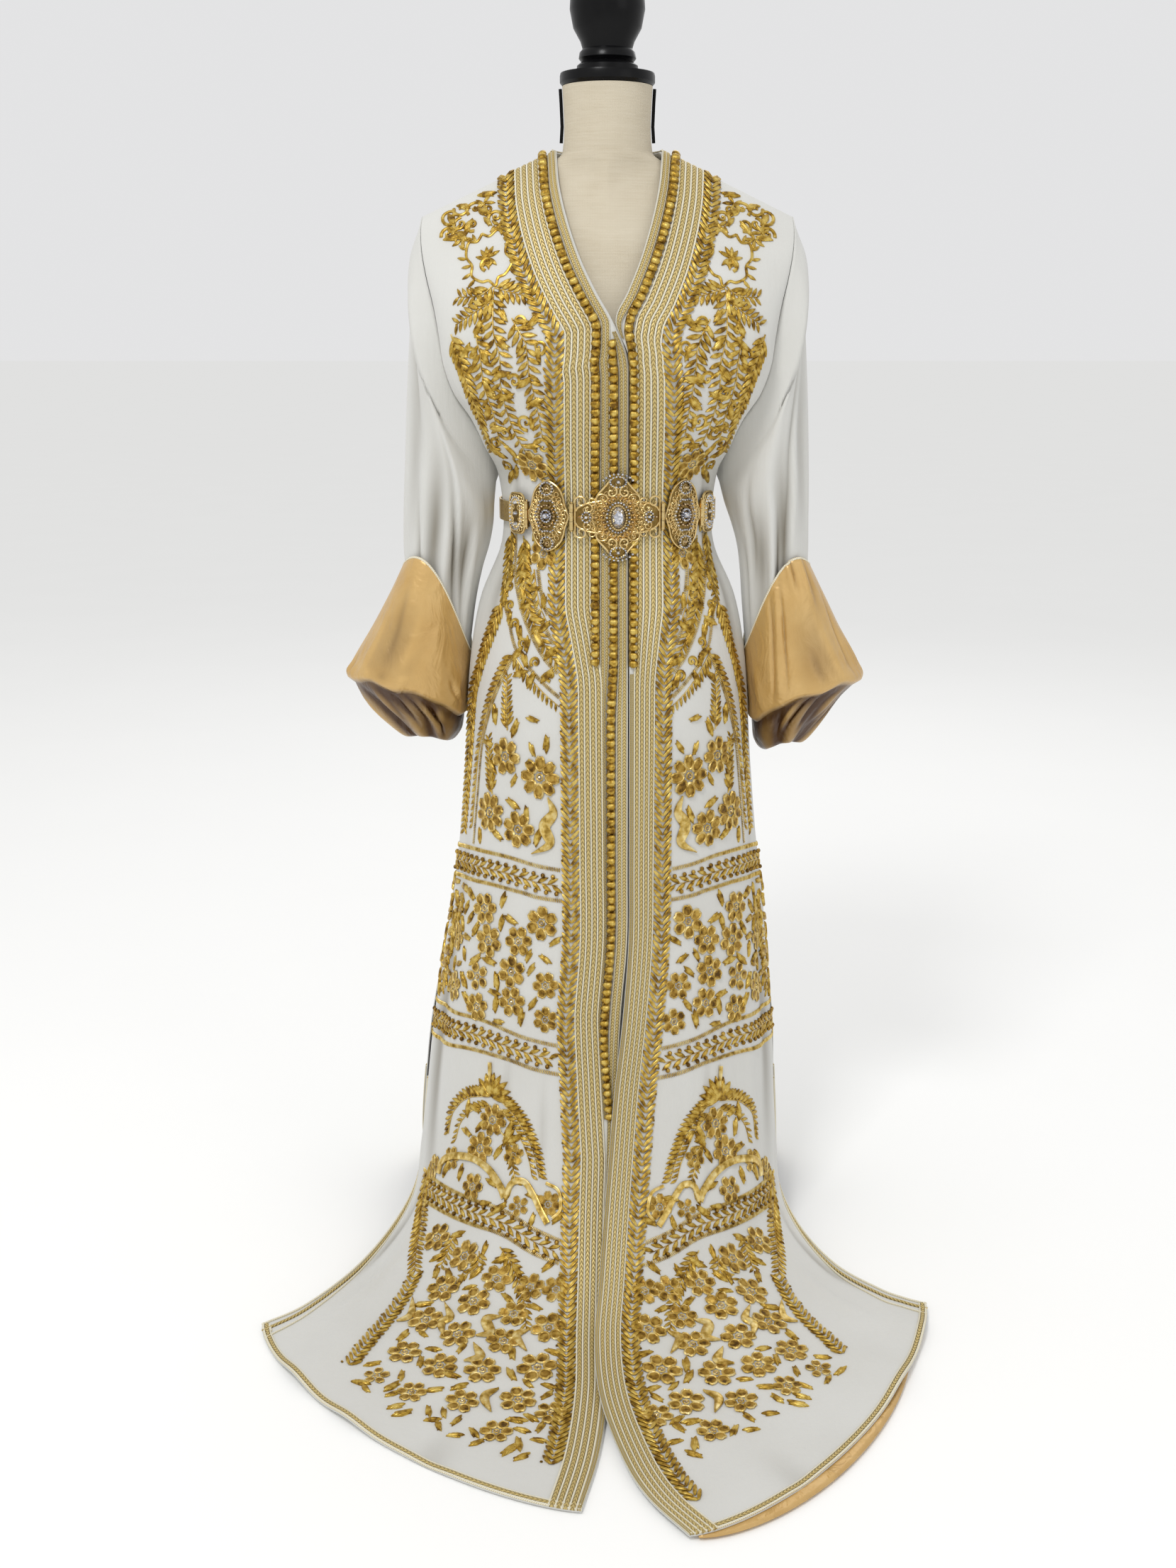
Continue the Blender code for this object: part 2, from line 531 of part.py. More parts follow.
def build_torso(group, linen):
    """Closed stack of rings, wider at the shoulders, with a flat top and bottom."""
    count = 28
    vertices, faces = [], []
    for z, half, front, back, roundness in TORSO:
        for step in range(count):
            angle = 2 * math.pi * step / count
            c, s = math.cos(angle), math.sin(angle)
            x = math.copysign(abs(c) ** (2 / roundness), c) * half
            y = math.copysign(abs(s) ** (2 / roundness), s) * (back if s > 0 else front)
            vertices.append((x, y, z))
    for ring in range(len(TORSO) - 1):
        for step in range(count):
            near = (step + 1) % count
            faces.append((ring * count + step, (ring + 1) * count + step,
                          (ring + 1) * count + near, ring * count + near))
    faces.append(tuple(range(count)))
    faces.append(tuple(reversed(range((len(TORSO) - 1) * count, len(TORSO) * count))))
    mesh = bpy.data.meshes.new("form_torso")
    mesh.from_pydata(vertices, [], faces)
    finish_object("form_torso", mesh, group, linen)


def build_turned(name, profile, steps, group, material):
    mesh = bpy.data.meshes.new(name)
    vertices = [(radius, 0.0, z) for radius, z in profile]
    mesh.from_pydata(vertices, [(i, i + 1) for i in range(len(profile) - 1)], [])
    item = finish_object(name, mesh, group, material)
    screw = item.modifiers.new("turn", "SCREW")
    screw.axis = "Z"
    screw.steps = screw.render_steps = steps
    screw.use_merge_vertices = True
    screw.merge_threshold = 0.00001
    screw.use_smooth_shade = True
    return item


def build_piping(side, group, material):
    """Cord on the side seam of the neck, from the cap down to the collar."""
    curve = bpy.data.curves.new("form_piping", "CURVE")
    curve.dimensions = "3D"
    curve.bevel_depth = PIPING_RADIUS
    curve.bevel_resolution = 1
    curve.use_fill_caps = True
    spline = curve.splines.new("POLY")
    heights = (1.3855, 1.3700, 1.3450, 1.3270)
    spline.points.add(len(heights) - 1)
    for point, z in zip(spline.points, heights):
        half = float(np.interp(z, [row[0] for row in TORSO][::-1], [row[1] for row in TORSO][::-1]))
        point.co = (side * (half + PIPING_RADIUS + 0.0002), 0.0, z, 1.0)
    item = bpy.data.objects.new("form_piping_left" if side < 0 else "form_piping_right", curve)
    curve.materials.append(material)
    group.objects.link(item)


def waist_point(arc, height, lift):
    """Point on the belt line, this far along the waist from the belt's centre."""
    angles = np.linspace(-math.pi, math.pi, 721)
    half = BELT_HALF_WIDTH + lift
    depth = np.where(np.cos(angles) > 0, BELT_FRONT + lift, BELT_BACK + lift)
    x, y = half * np.sin(angles), -depth * np.cos(angles)
    run = np.concatenate(([0.0], np.cumsum(np.hypot(np.diff(x), np.diff(y)))))
    start = np.interp(math.asin((BELT_X - SHIFT) / half), angles, run)
    place = (start + arc * (1 + lift / 0.12)) % run[-1]
    return np.array((np.interp(place, run, x) + SHIFT, np.interp(place, run, y), height))


def lozenge(angle, half_width, half_height, power):
    c, s = abs(math.cos(angle)) / half_width, abs(math.sin(angle)) / half_height
    return (c ** power + s ** power) ** (-1 / power)


def build_plate(name, arc, height, outline, points, group, metal):
    """Belt plate: a flat outline with lobes, bent to the waist, thicker in the middle."""
    shares = (0.45, 0.75, 1.0)
    rows = []
    for share in shares:
        line = []
        for step in range(points):
            angle = 2 * math.pi * step / points
            radius = outline(angle) * share
            line.append((radius * math.cos(angle), radius * math.sin(angle), share))
        rows.append(line)
    vertices, faces = [], []
    for front in (True, False):
        start = len(vertices)
        vertices.append(tuple(waist_point(arc, height, PLATE + 0.002 if front else 0.0)))
        for line in rows:
            for x, z, share in line:
                lift = PLATE + 0.002 * (1 - share) if front else 0.0
                vertices.append(tuple(waist_point(arc + x, height + z, lift)))
        for step in range(points):
            near = (step + 1) % points
            face = (start, start + 1 + step, start + 1 + near)
            faces.append(face if front else face[::-1])
            for ring in range(len(rows) - 1):
                a, b = start + 1 + ring * points, start + 1 + (ring + 1) * points
                face = (a + step, b + step, b + near, a + near)
                faces.append(face if front else face[::-1])
    rim = 1 + (len(rows) - 1) * points
    offset = 1 + len(rows) * points
    for step in range(points):
        near = (step + 1) % points
        faces.append((rim + step, rim + offset + step, rim + offset + near, rim + near))
    mesh = bpy.data.meshes.new(name)
    mesh.from_pydata(vertices, [], faces)
    finish_object(name, mesh, group, metal)


def build_hinge(name, arc, group, metal):
    place = waist_point(arc, BELT_Z, HINGE_RADIUS)
    bpy.ops.mesh.primitive_cylinder_add(vertices=10, radius=HINGE_RADIUS, depth=0.030,
                                        location=tuple(place))
    item = bpy.context.object
    item.name = name
    item.data.name = name
    item.data.materials.append(metal)
    for owner in list(item.users_collection):
        owner.objects.unlink(item)
    group.objects.link(item)


def build_belt(group, metal):
    def centre_outline(angle):
        return max(lozenge(angle, 0.031, 0.053, 1.5), lozenge(angle, 0.050, 0.025, 3.0))

    def side_outline(angle):
        return lozenge(angle, 0.026, 0.043, 1.7) * (1 + 0.04 * math.cos(6 * angle))

    def end_outline(angle):
        return lozenge(angle, 0.0150, 0.0240, 4.0)

    build_plate("belt_centre", 0.0, BELT_Z, centre_outline, 28, group, metal)
    for name, sign in (("left", -1), ("right", 1)):
        build_hinge("belt_hinge_inner_" + name, sign * 0.0535, group, metal)
        build_plate("belt_side_" + name, sign * 0.0838, BELT_Z, side_outline, 22, group, metal)
        build_hinge("belt_hinge_outer_" + name, sign * 0.1141, group, metal)
        build_plate("belt_end_" + name, sign * 0.1322, BELT_Z, end_outline, 14, group, metal)
    around = 2 * BELT_END + strap_length()
    strap = []
    for height in (BELT_Z + STRAP_HEIGHT / 2, BELT_Z - STRAP_HEIGHT / 2):
        strap.append([waist_point(arc, height, STRAP_WALL)
                      for arc in np.linspace(BELT_END, around - BELT_END, 25)])
    add_grid("belt_strap_back", strap, group, metal, STRAP_WALL)


def strap_length():
    """Way round the back between the two end plates, on the strap's outer side."""
    angles = np.linspace(0.0, math.pi, 361)
    half = BELT_HALF_WIDTH + STRAP_WALL
    depth = np.where(np.cos(angles) > 0, BELT_FRONT, BELT_BACK) + STRAP_WALL
    x, y = half * np.sin(angles), -depth * np.cos(angles)
    whole = 2 * np.hypot(np.diff(x), np.diff(y)).sum()
    return whole / (1 + STRAP_WALL / 0.12) - 2 * BELT_END


def build_stand(group, metal):
    bpy.ops.mesh.primitive_cylinder_add(vertices=24, radius=POLE_RADIUS,
                                        depth=TORSO_BOTTOM - BASE_HEIGHT - 0.0008,
                                        location=(0, 0, (TORSO_BOTTOM + BASE_HEIGHT) / 2))
    pole = bpy.context.object
    pole.name = pole.data.name = "form_pole"
    pole.data.materials.append(metal)
    for owner in list(pole.users_collection):
        owner.objects.unlink(pole)
    group.objects.link(pole)
    profile = ((0.0, BASE_HEIGHT), (0.060, BASE_HEIGHT), (0.120, 0.017), (BASE_RADIUS - 0.004, 0.012),
               (BASE_RADIUS, 0.008), (BASE_RADIUS, 0.002), (BASE_RADIUS - 0.002, 0.0), (0.0, 0.0))
    build_turned("form_base", profile, 36, group, metal)


def main():
    clear_scene()
    group = make_collection("kaftan_on_dress_form")
    crepe = make_material("ivory crepe", (0.80, 0.79, 0.75), 0.75)
    satin = make_material("gold satin", (0.53, 0.32, 0.09), 0.38)
    braid = make_material("metallic gold braid", (0.62, 0.47, 0.18), 0.42, 0.6)
    metal = make_material("gilt belt metal", (0.76, 0.60, 0.28), 0.28, 1.0)
    linen = make_material("printed linen", (0.66, 0.60, 0.49), 0.85)
    lacquer = make_material("black lacquered wood", (0.012, 0.012, 0.013), 0.30)
    steel = make_material("black painted steel", (0.02, 0.02, 0.021), 0.45)
    cord = make_material("black cord", (0.015, 0.015, 0.016), 0.70)

    for left in (True, False):
        panel = build_front(left, group, crepe, braid)
        build_sleeve(left, group, crepe)
        build_cuff(left, group, satin)
    build_lining_edge(panel, group, satin)
    back = build_back(group, crepe)
    build_neck_band(back, group, braid)
    build_belt(group, metal)
    build_torso(group, linen)
    build_turned("form_cap", CAP_PROFILE, 28, group, lacquer)
    for side in (-1, 1):
        build_piping(side, group, cord)
    build_stand(group, steel)


if __name__ == "__main__":
    main()
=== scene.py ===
"""Ivory kaftan with gold embroidery and its belt on a limbless dress form: the look.

Everything is in metres, in the frame of the solids. The front faces -Y, +X is the
right-hand side of someone who looks at the front, and the floor is z = 0.
"""

from __future__ import annotations

import logging
import math
from dataclasses import dataclass, field
from enum import Enum
from typing import Any, Callable, Iterable, Sequence

import bpy
import numpy as np
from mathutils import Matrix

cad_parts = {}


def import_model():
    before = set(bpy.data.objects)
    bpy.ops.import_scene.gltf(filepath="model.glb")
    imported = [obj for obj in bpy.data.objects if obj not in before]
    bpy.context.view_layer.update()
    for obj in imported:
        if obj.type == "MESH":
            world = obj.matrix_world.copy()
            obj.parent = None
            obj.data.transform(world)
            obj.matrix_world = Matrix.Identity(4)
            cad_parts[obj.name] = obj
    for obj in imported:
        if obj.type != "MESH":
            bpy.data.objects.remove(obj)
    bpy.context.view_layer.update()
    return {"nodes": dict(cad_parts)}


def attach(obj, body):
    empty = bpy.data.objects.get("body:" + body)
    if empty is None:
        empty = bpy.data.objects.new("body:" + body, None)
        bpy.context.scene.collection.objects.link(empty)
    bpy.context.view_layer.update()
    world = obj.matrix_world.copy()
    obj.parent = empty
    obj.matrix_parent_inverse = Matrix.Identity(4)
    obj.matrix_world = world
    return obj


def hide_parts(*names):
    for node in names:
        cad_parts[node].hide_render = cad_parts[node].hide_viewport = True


LOG = logging.getLogger("kaftan")
Array = np.ndarray
Faces = list[tuple[int, ...]]

Tree = bpy.types.NodeTree
Socket = bpy.types.NodeSocket
Material = bpy.types.Material
Item = bpy.types.Object

COLOURS: dict[str, Any] = {"out": 2, "data_type": "RGBA"}  # a Mix node that blends colours
WALL = 0.0015           # crepe with its lining
SATIN_WALL = 0.0016
SEAM = 0.0005           # half the gap left open at a seam
CHEVRON_WIDTH = 0.0215  # feather-stitch column beside the braids
CHEVRON_GAP = 0.002     # bare cloth outside it
MILLIMETRE = 0.001


class Side(Enum):
    """Which half of the garment a piece is on, as seen from the front."""

    LEFT = -1
    RIGHT = 1

    @property
    def word(self) -> str:
        """Name used in the names of the pieces."""
        return "left" if self is Side.LEFT else "right"


# Upper rows of both front panels: height and y of the centre edge, x of the left and
# right centre edge, half width, y and height of the side edge, roundness.
FRONT_UPPER = (
    (1.3180, -0.000, -0.0590, 0.0630, 0.2140, -0.000, 1.2470, 2.0),
    (1.3165, -0.010, -0.0590, 0.0630, 0.2155, -0.009, 1.2445, 2.0),
    (1.3040, -0.025, -0.0580, 0.0620, 0.2165, -0.022, 1.2310, 2.0),
    (1.2770, -0.049, -0.0550, 0.0590, 0.2145, -0.039, 1.2060, 2.0),
    (1.2400, -0.077, -0.0460, 0.0510, 0.2085, -0.052, 1.1760, 2.1),
    (1.1970, -0.104, -0.0310, 0.0380, 0.2005, -0.060, 1.1440, 2.2),
    (1.1600, -0.124, -0.0130, 0.0230, 0.1945, -0.063, 1.1100, 2.3),
    (1.1280, -0.136, 0.0055, 0.0090, 0.1900, -0.063, 1.0780, 2.3),
    (1.0900, -0.139, 0.0220, 0.0235, 0.1790, -0.058, 1.0460, 2.3),
    (1.0500, -0.136, 0.0240, 0.0255, 0.1610, -0.048, 1.0180, 2.2),
    (1.0050, -0.126, 0.0240, 0.0255, 0.1460, -0.032, 0.9860, 2.1),
    (0.9600, -0.1155, 0.0240, 0.0255, 0.1315, -0.001, 0.9550, 2.0),
    (0.9100, -0.1130, 0.0240, 0.0255, 0.1265, -0.001, 0.9100, 2.0),
    (0.8600, -0.1170, 0.0240, 0.0255, 0.1310, -0.001, 0.8620, 2.0),
    (0.8000, -0.131, 0.0240, 0.0255, 0.1550, -0.001, 0.8020, 2.0),
    (0.7200, -0.147, 0.0240, 0.0255, 0.1680, -0.001, 0.7220, 2.0),
    (0.6100, -0.160, 0.0240, 0.0255, 0.1755, -0.001, 0.6120, 2.0),
    (0.5000, -0.170, 0.0240, 0.0255, 0.1870, -0.001, 0.5020, 2.0),
    (0.4100, -0.182, 0.0235, 0.0250, 0.2000, -0.001, 0.4120, 2.0),
)

# Lower rows: height, y and x of the centre edge, x, y and height of the side edge,
# roundness.
LEFT_LOWER = (
    (0.3200, -0.199, 0.0160, -0.2160, -0.001, 0.3220, 2.00),
    (0.2350, -0.219, 0.0120, -0.2290, -0.004, 0.2380, 2.00),
    (0.1600, -0.252, 0.0090, -0.2365, -0.022, 0.1650, 1.95),
    (0.1000, -0.294, 0.0060, -0.2400, -0.055, 0.1050, 1.90),
    (0.0520, -0.347, 0.0040, -0.2460, -0.095, 0.0550, 1.80),
    (0.0200, -0.413, 0.0020, -0.2680, -0.158, 0.0280, 1.70),
    (0.0065, -0.494, 0.0010, -0.3060, -0.237, 0.0110, 1.60),
    (0.0032, -0.590, -0.0080, -0.3560, -0.310, 0.0040, 1.52),
    (0.0030, -0.675, -0.0250, -0.4010, -0.350, 0.0030, 1.44),
)
RIGHT_LOWER = (
    (0.3200, -0.206, 0.0180, 0.2080, -0.001, 0.3220, 2.00),
    (0.2360, -0.228, 0.0080, 0.2160, -0.004, 0.2380, 2.00),
    (0.1630, -0.262, 0.0010, 0.2185, -0.022, 0.1650, 1.95),
    (0.1050, -0.305, -0.0050, 0.2190, -0.055, 0.1050, 1.90),
    (0.0590, -0.358, -0.0100, 0.2200, -0.100, 0.0550, 1.80),
    (0.0280, -0.424, -0.0145, 0.2400, -0.170, 0.0300, 1.70),
    (0.0130, -0.506, -0.0080, 0.2780, -0.235, 0.0130, 1.60),
    (0.0080, -0.600, 0.0150, 0.3250, -0.282, 0.0080, 1.50),
    (0.0065, -0.660, 0.0400, 0.3520, -0.300, 0.0065, 1.50),
    (0.0060, -0.713, 0.0780, 0.3770, -0.312, 0.0060, 1.47),
)

# Half rows of the back: height and y at the centre, half width, y and height of the
# side edge, x of the middle.
BACK_ROWS = (
    (1.3160, 0.062, 0.2155, 0.009, 1.2445, 0.000),
    (1.2980, 0.068, 0.2165, 0.022, 1.2310, 0.000),
    (1.2680, 0.078, 0.2145, 0.039, 1.2060, 0.000),
    (1.2280, 0.087, 0.2085, 0.050, 1.1760, 0.000),
    (1.1830, 0.092, 0.2005, 0.056, 1.1440, 0.000),
    (1.1410, 0.093, 0.1945, 0.058, 1.1100, 0.000),
    (1.1040, 0.091, 0.1900, 0.057, 1.0780, 0.000),
    (1.0690, 0.087, 0.1790, 0.052, 1.0460, 0.000),
    (1.0340, 0.084, 0.1610, 0.042, 1.0180, 0.000),
    (0.9950, 0.083, 0.1460, 0.027, 0.9860, 0.000),
    (0.9550, 0.084, 0.1315, 0.001, 0.9550, 0.000),
    (0.9100, 0.084, 0.1265, 0.001, 0.9100, 0.000),
    (0.8600, 0.092, 0.1310, 0.001, 0.8620, 0.000),
    (0.8000, 0.116, 0.1550, 0.001, 0.8020, 0.000),
    (0.7200, 0.139, 0.1680, 0.001, 0.7220, 0.000),
    (0.6100, 0.158, 0.1755, 0.001, 0.6120, 0.000),
    (0.5000, 0.172, 0.1870, 0.001, 0.5020, 0.000),
    (0.4100, 0.186, 0.2000, 0.001, 0.4120, 0.000),
    (0.3200, 0.203, 0.2130, 0.001, 0.3220, -0.004),
    (0.2350, 0.224, 0.2260, 0.003, 0.2380, -0.007),
    (0.1600, 0.252, 0.2320, 0.007, 0.1650, -0.010),
    (0.1000, 0.287, 0.2370, 0.015, 0.1050, -0.011),
    (0.0520, 0.330, 0.2400, 0.028, 0.0580, -0.011),
    (0.0200, 0.382, 0.2410, 0.048, 0.0270, -0.010),
    (0.0065, 0.442, 0.2380, 0.090, 0.0090, -0.008),
    (0.0030, 0.500, 0.2280, 0.160, 0.0030, -0.006),
)

# Braid band on each front panel, as distances from its centre edge: panel row, inner
# line and outer line of the stripes.
BANDS = {
    Side.LEFT: ((0, 0.022, 0.052), (7, 0.024, 0.054), (8, 0.044, 0.074), (14, 0.044, 0.073),
                (15, 0.031, 0.058), (19, 0.028, 0.055), (21, 0.012, 0.040), (27, 0.006, 0.034)),
    Side.RIGHT: ((0, 0.022, 0.052), (7, 0.024, 0.054), (8, 0.009, 0.040), (14, 0.009, 0.040),
                 (15, 0.006, 0.030), (19, 0.006, 0.028), (28, 0.006, 0.030)),
}

# Folds of the cloth: place across (0 at the centre edge, 1 at the side), half width,
# first and last row, depth (a ridge is positive), and how far the fold leans outwards
# for each row. The first eight of a front and four of the back are in the solids too.
FRONT_FOLDS = {
    Side.LEFT: (
        (0.90, 0.060, 9, 13, 0.0030, 0), (0.72, 0.050, 12, 15, -0.0030, 0),
        (0.88, 0.050, 12, 19, 0.0050, 0), (0.64, 0.060, 16, 23, 0.0040, 0),
        (0.80, 0.055, 16, 24, -0.0045, 0), (0.42, 0.070, 20, 27, 0.0055, 0),
        (0.70, 0.060, 24, 29, 0.0080, 0), (0.54, 0.050, 25, 30, 0.0060, 0),
        (0.62, 0.030, 9.5, 12.6, -0.0016, 0.03), (0.80, 0.026, 7.5, 11.5, 0.0018, -0.03),
        (0.52, 0.020, 12.2, 14.6, 0.0014, 0.04), (0.97, 0.020, 13, 20, -0.0030, 0),
        (0.30, 0.016, 19.3, 22.6, 0.0016, 0.01), (0.37, 0.014, 19.2, 21.8, -0.0014, 0.01),
        (0.50, 0.018, 19.4, 22.8, 0.0017, 0.01), (0.60, 0.016, 19.2, 21.6, -0.0016, 0),
        (0.24, 0.013, 19.5, 22.0, -0.0012, 0), (0.93, 0.020, 20.5, 24.6, 0.0040, -0.01),
        (0.86, 0.018, 22.2, 25.4, -0.0040, 0.02), (0.79, 0.022, 23.0, 26.4, 0.0045, 0.01),
        (0.97, 0.016, 22.6, 25.6, -0.0028, -0.01), (0.36, 0.030, 25.6, 28.6, -0.0016, 0),
    ),
    Side.RIGHT: (
        (0.88, 0.060, 9, 13, 0.0030, 0), (0.76, 0.050, 12, 16, -0.0030, 0),
        (0.90, 0.050, 12, 19, 0.0045, 0), (0.60, 0.060, 17, 24, 0.0040, 0),
        (0.78, 0.055, 16, 23, -0.0040, 0), (0.46, 0.070, 21, 28, 0.0050, 0),
        (0.66, 0.060, 24, 31, 0.0070, 0), (0.84, 0.050, 25, 30, 0.0055, 0),
        (0.60, 0.028, 9.4, 12.5, -0.0016, 0.03), (0.78, 0.026, 7.4, 11.3, 0.0018, -0.03),
        (0.50, 0.020, 12.2, 14.8, 0.0014, 0.05), (0.97, 0.020, 13, 20, -0.0030, 0),
        (0.28, 0.016, 19.3, 22.4, 0.0016, 0.01), (0.36, 0.015, 19.1, 22.0, -0.0015, 0.01),
        (0.47, 0.018, 19.4, 22.9, 0.0017, 0.01), (0.57, 0.016, 19.2, 21.8, -0.0014, 0),
        (0.93, 0.022, 21, 25.0, 0.0038, -0.01), (0.86, 0.018, 22.6, 26.0, -0.0036, 0.02),
        (0.77, 0.022, 23.6, 27.0, 0.0040, 0.01), (0.97, 0.016, 23.0, 26.4, -0.0025, -0.01),
        (0.34, 0.030, 26.4, 29.6, -0.0014, 0),
    ),
}
BACK_FOLDS = (
    (0.16, 0.060, 10, 19, -0.0050, 0), (0.38, 0.070, 11, 24, 0.0080, 0),
    (0.60, 0.060, 12, 22, -0.0060, 0), (0.82, 0.060, 12, 25, 0.0070, 0),
    (0.06, 0.030, 13.5, 21.5, 0.0030, 0), (0.27, 0.024, 14.5, 22.5, -0.0030, 0.004),
    (0.49, 0.022, 13.5, 20.5, 0.0028, 0.004), (0.70, 0.024, 14.0, 23.0, -0.0035, 0),
    (0.94, 0.022, 13.0, 21.5, 0.0030, 0), (0.30, 0.030, 4.0, 9.5, 0.0018, -0.02),
    (0.55, 0.026, 5.0, 10.5, -0.0018, -0.02), (0.78, 0.026, 4.5, 10.0, 0.0022, -0.02),
)

# Sleeve rings below the armhole: outer point (x, z), inner point (x, z), half depth, and
# how far the middle of the ring swings out.
SLEEVES = {
    Side.LEFT: (
        (0.2245, 1.190, 0.1370, 0.9400, 0.0670, 0.032),
        (0.2320, 1.130, 0.1395, 0.9160, 0.0680, 0.014),
        (0.2395, 1.040, 0.1410, 0.8900, 0.0670, 0.000),
        (0.2440, 0.960, 0.1460, 0.8640, 0.0640, 0.000),
        (0.2465, 0.900, 0.1550, 0.8350, 0.0600, 0.000),
        (0.2475, 0.855, 0.1650, 0.7900, 0.0560, 0.000),
        (0.2450, 0.815, 0.1755, 0.7160, 0.0520, 0.000),
    ),
    Side.RIGHT: (
        (0.2265, 1.190, 0.1375, 0.9400, 0.0670, 0.032),
        (0.2325, 1.130, 0.1440, 0.9160, 0.0680, 0.014),
        (0.2390, 1.040, 0.1530, 0.8900, 0.0670, 0.000),
        (0.2425, 0.960, 0.1600, 0.8640, 0.0640, 0.000),
        (0.2440, 0.900, 0.1640, 0.8350, 0.0600, 0.000),
        (0.2450, 0.855, 0.1680, 0.7900, 0.0560, 0.000),
        (0.2440, 0.815, 0.1755, 0.7160, 0.0520, 0.000),
    ),
}
# Soft troughs and ridges down a sleeve: angle from its outer side towards the front,
# half width in degrees, first and last ring, depth. The first six are in the solids.
SLEEVE_FOLDS = (
    (80, 13, 2.0, 7.6, -0.0085, 0), (122, 14, 2.6, 7.4, -0.0070, 0), (42, 16, 0.8, 6.0, -0.0040, 0),
    (205, 16, 1.5, 7.4, -0.0060, 0), (255, 15, 2.0, 7.4, -0.0075, 0), (310, 18, 1.0, 6.5, -0.0050, 0),
    (100, 7, 2.4, 6.6, 0.0022, 0), (62, 8, 2.2, 6.4, 0.0020, 0), (140, 8, 3.0, 7.3, 0.0018, 0),
    (25, 8, 2.0, 5.4, 0.0014, 0), (108, 5, 4.0, 7.4, -0.0016, 0), (72, 5, 4.4, 7.4, -0.0014, 0),
    (155, 7, 1.2, 4.6, -0.0020, 0), (90, 9, 0.6, 2.8, 0.0016, 0), (230, 8, 2.6, 6.8, 0.0020, 0),
    (285, 8, 2.2, 6.6, 0.0018, 0), (335, 8, 1.6, 5.6, 0.0015, 0),
)

# Sharper creases of each sleeve, as above, and how far the crease turns for each ring.
SLEEVE_CREASES = {
    Side.LEFT: (
        (52, 4.5, 3.4, 8.6, -0.0060, 3), (60, 4.0, 3.6, 8.6, 0.0030, 3), (88, 5.0, 1.6, 7.4, -0.0066, 7),
        (97, 4.0, 1.8, 7.4, 0.0034, 7), (128, 5.0, 3.2, 7.0, -0.0060, 3), (136, 4.0, 3.2, 7.2, 0.0030, 3),
        (36, 6.0, 0.6, 3.6, -0.0026, 6), (18, 5.0, 3.0, 7.4, 0.0018, 0), (240, 5.0, 2.6, 7.4, -0.0050, 3),
        (292, 5.0, 1.4, 6.6, -0.0040, -4),
    ),
    Side.RIGHT: (
        (90, 4.5, 3.0, 8.8, -0.0072, 1), (98, 4.0, 3.0, 8.6, 0.0034, 1), (52, 5.0, 0.8, 6.6, -0.0044, 5),
        (44, 4.0, 0.8, 6.6, 0.0024, 5), (128, 5.0, 1.4, 6.6, -0.0050, 2), (26, 5.0, 2.6, 7.2, 0.0018, 0),
        (150, 5.0, 3.4, 7.2, -0.0040, 0), (248, 5.0, 2.6, 7.4, -0.0050, 3), (296, 5.0, 1.4, 6.6, -0.0040, -4),
    ),
}

# Turned-back satin cuffs, top edge to the rim inside: outer point, inner point, half
# depth, and how much higher the ring runs at the front and the back.
CUFFS = {
    Side.LEFT: (
        (0.2490, 0.8400, 0.1705, 0.7320, 0.0610, 0.056),
        (0.2680, 0.8020, 0.1715, 0.7130, 0.0700, 0.046),
        (0.2900, 0.7600, 0.1730, 0.6930, 0.0790, 0.030),
        (0.3140, 0.7210, 0.1745, 0.6740, 0.0850, 0.025),
        (0.3230, 0.7040, 0.1755, 0.6590, 0.0860, 0.021),
        (0.3110, 0.6800, 0.1775, 0.6440, 0.0800, 0.020),
        (0.2860, 0.6500, 0.1815, 0.6300, 0.0680, 0.018),
        (0.2580, 0.6260, 0.1920, 0.6190, 0.0480, 0.010),
        (0.2440, 0.6340, 0.2000, 0.6300, 0.0340, 0.006),
        (0.2420, 0.6640, 0.1980, 0.6580, 0.0340, 0.000),
    ),
    Side.RIGHT: (
        (0.2468, 0.8400, 0.1705, 0.7340, 0.0600, 0.054),
        (0.2680, 0.7980, 0.1715, 0.7140, 0.0700, 0.045),
        (0.2870, 0.7570, 0.1735, 0.6920, 0.0780, 0.030),
        (0.3060, 0.7210, 0.1755, 0.6690, 0.0840, 0.024),
        (0.3170, 0.7010, 0.1770, 0.6520, 0.0850, 0.020),
        (0.2980, 0.6770, 0.1790, 0.6350, 0.0770, 0.022),
        (0.2740, 0.6450, 0.1820, 0.6180, 0.0650, 0.021),
        (0.2500, 0.6190, 0.1910, 0.6070, 0.0480, 0.012),
        (0.2390, 0.6240, 0.1990, 0.6180, 0.0340, 0.006),
        (0.2360, 0.6540, 0.1970, 0.6460, 0.0340, 0.000),
    ),
}
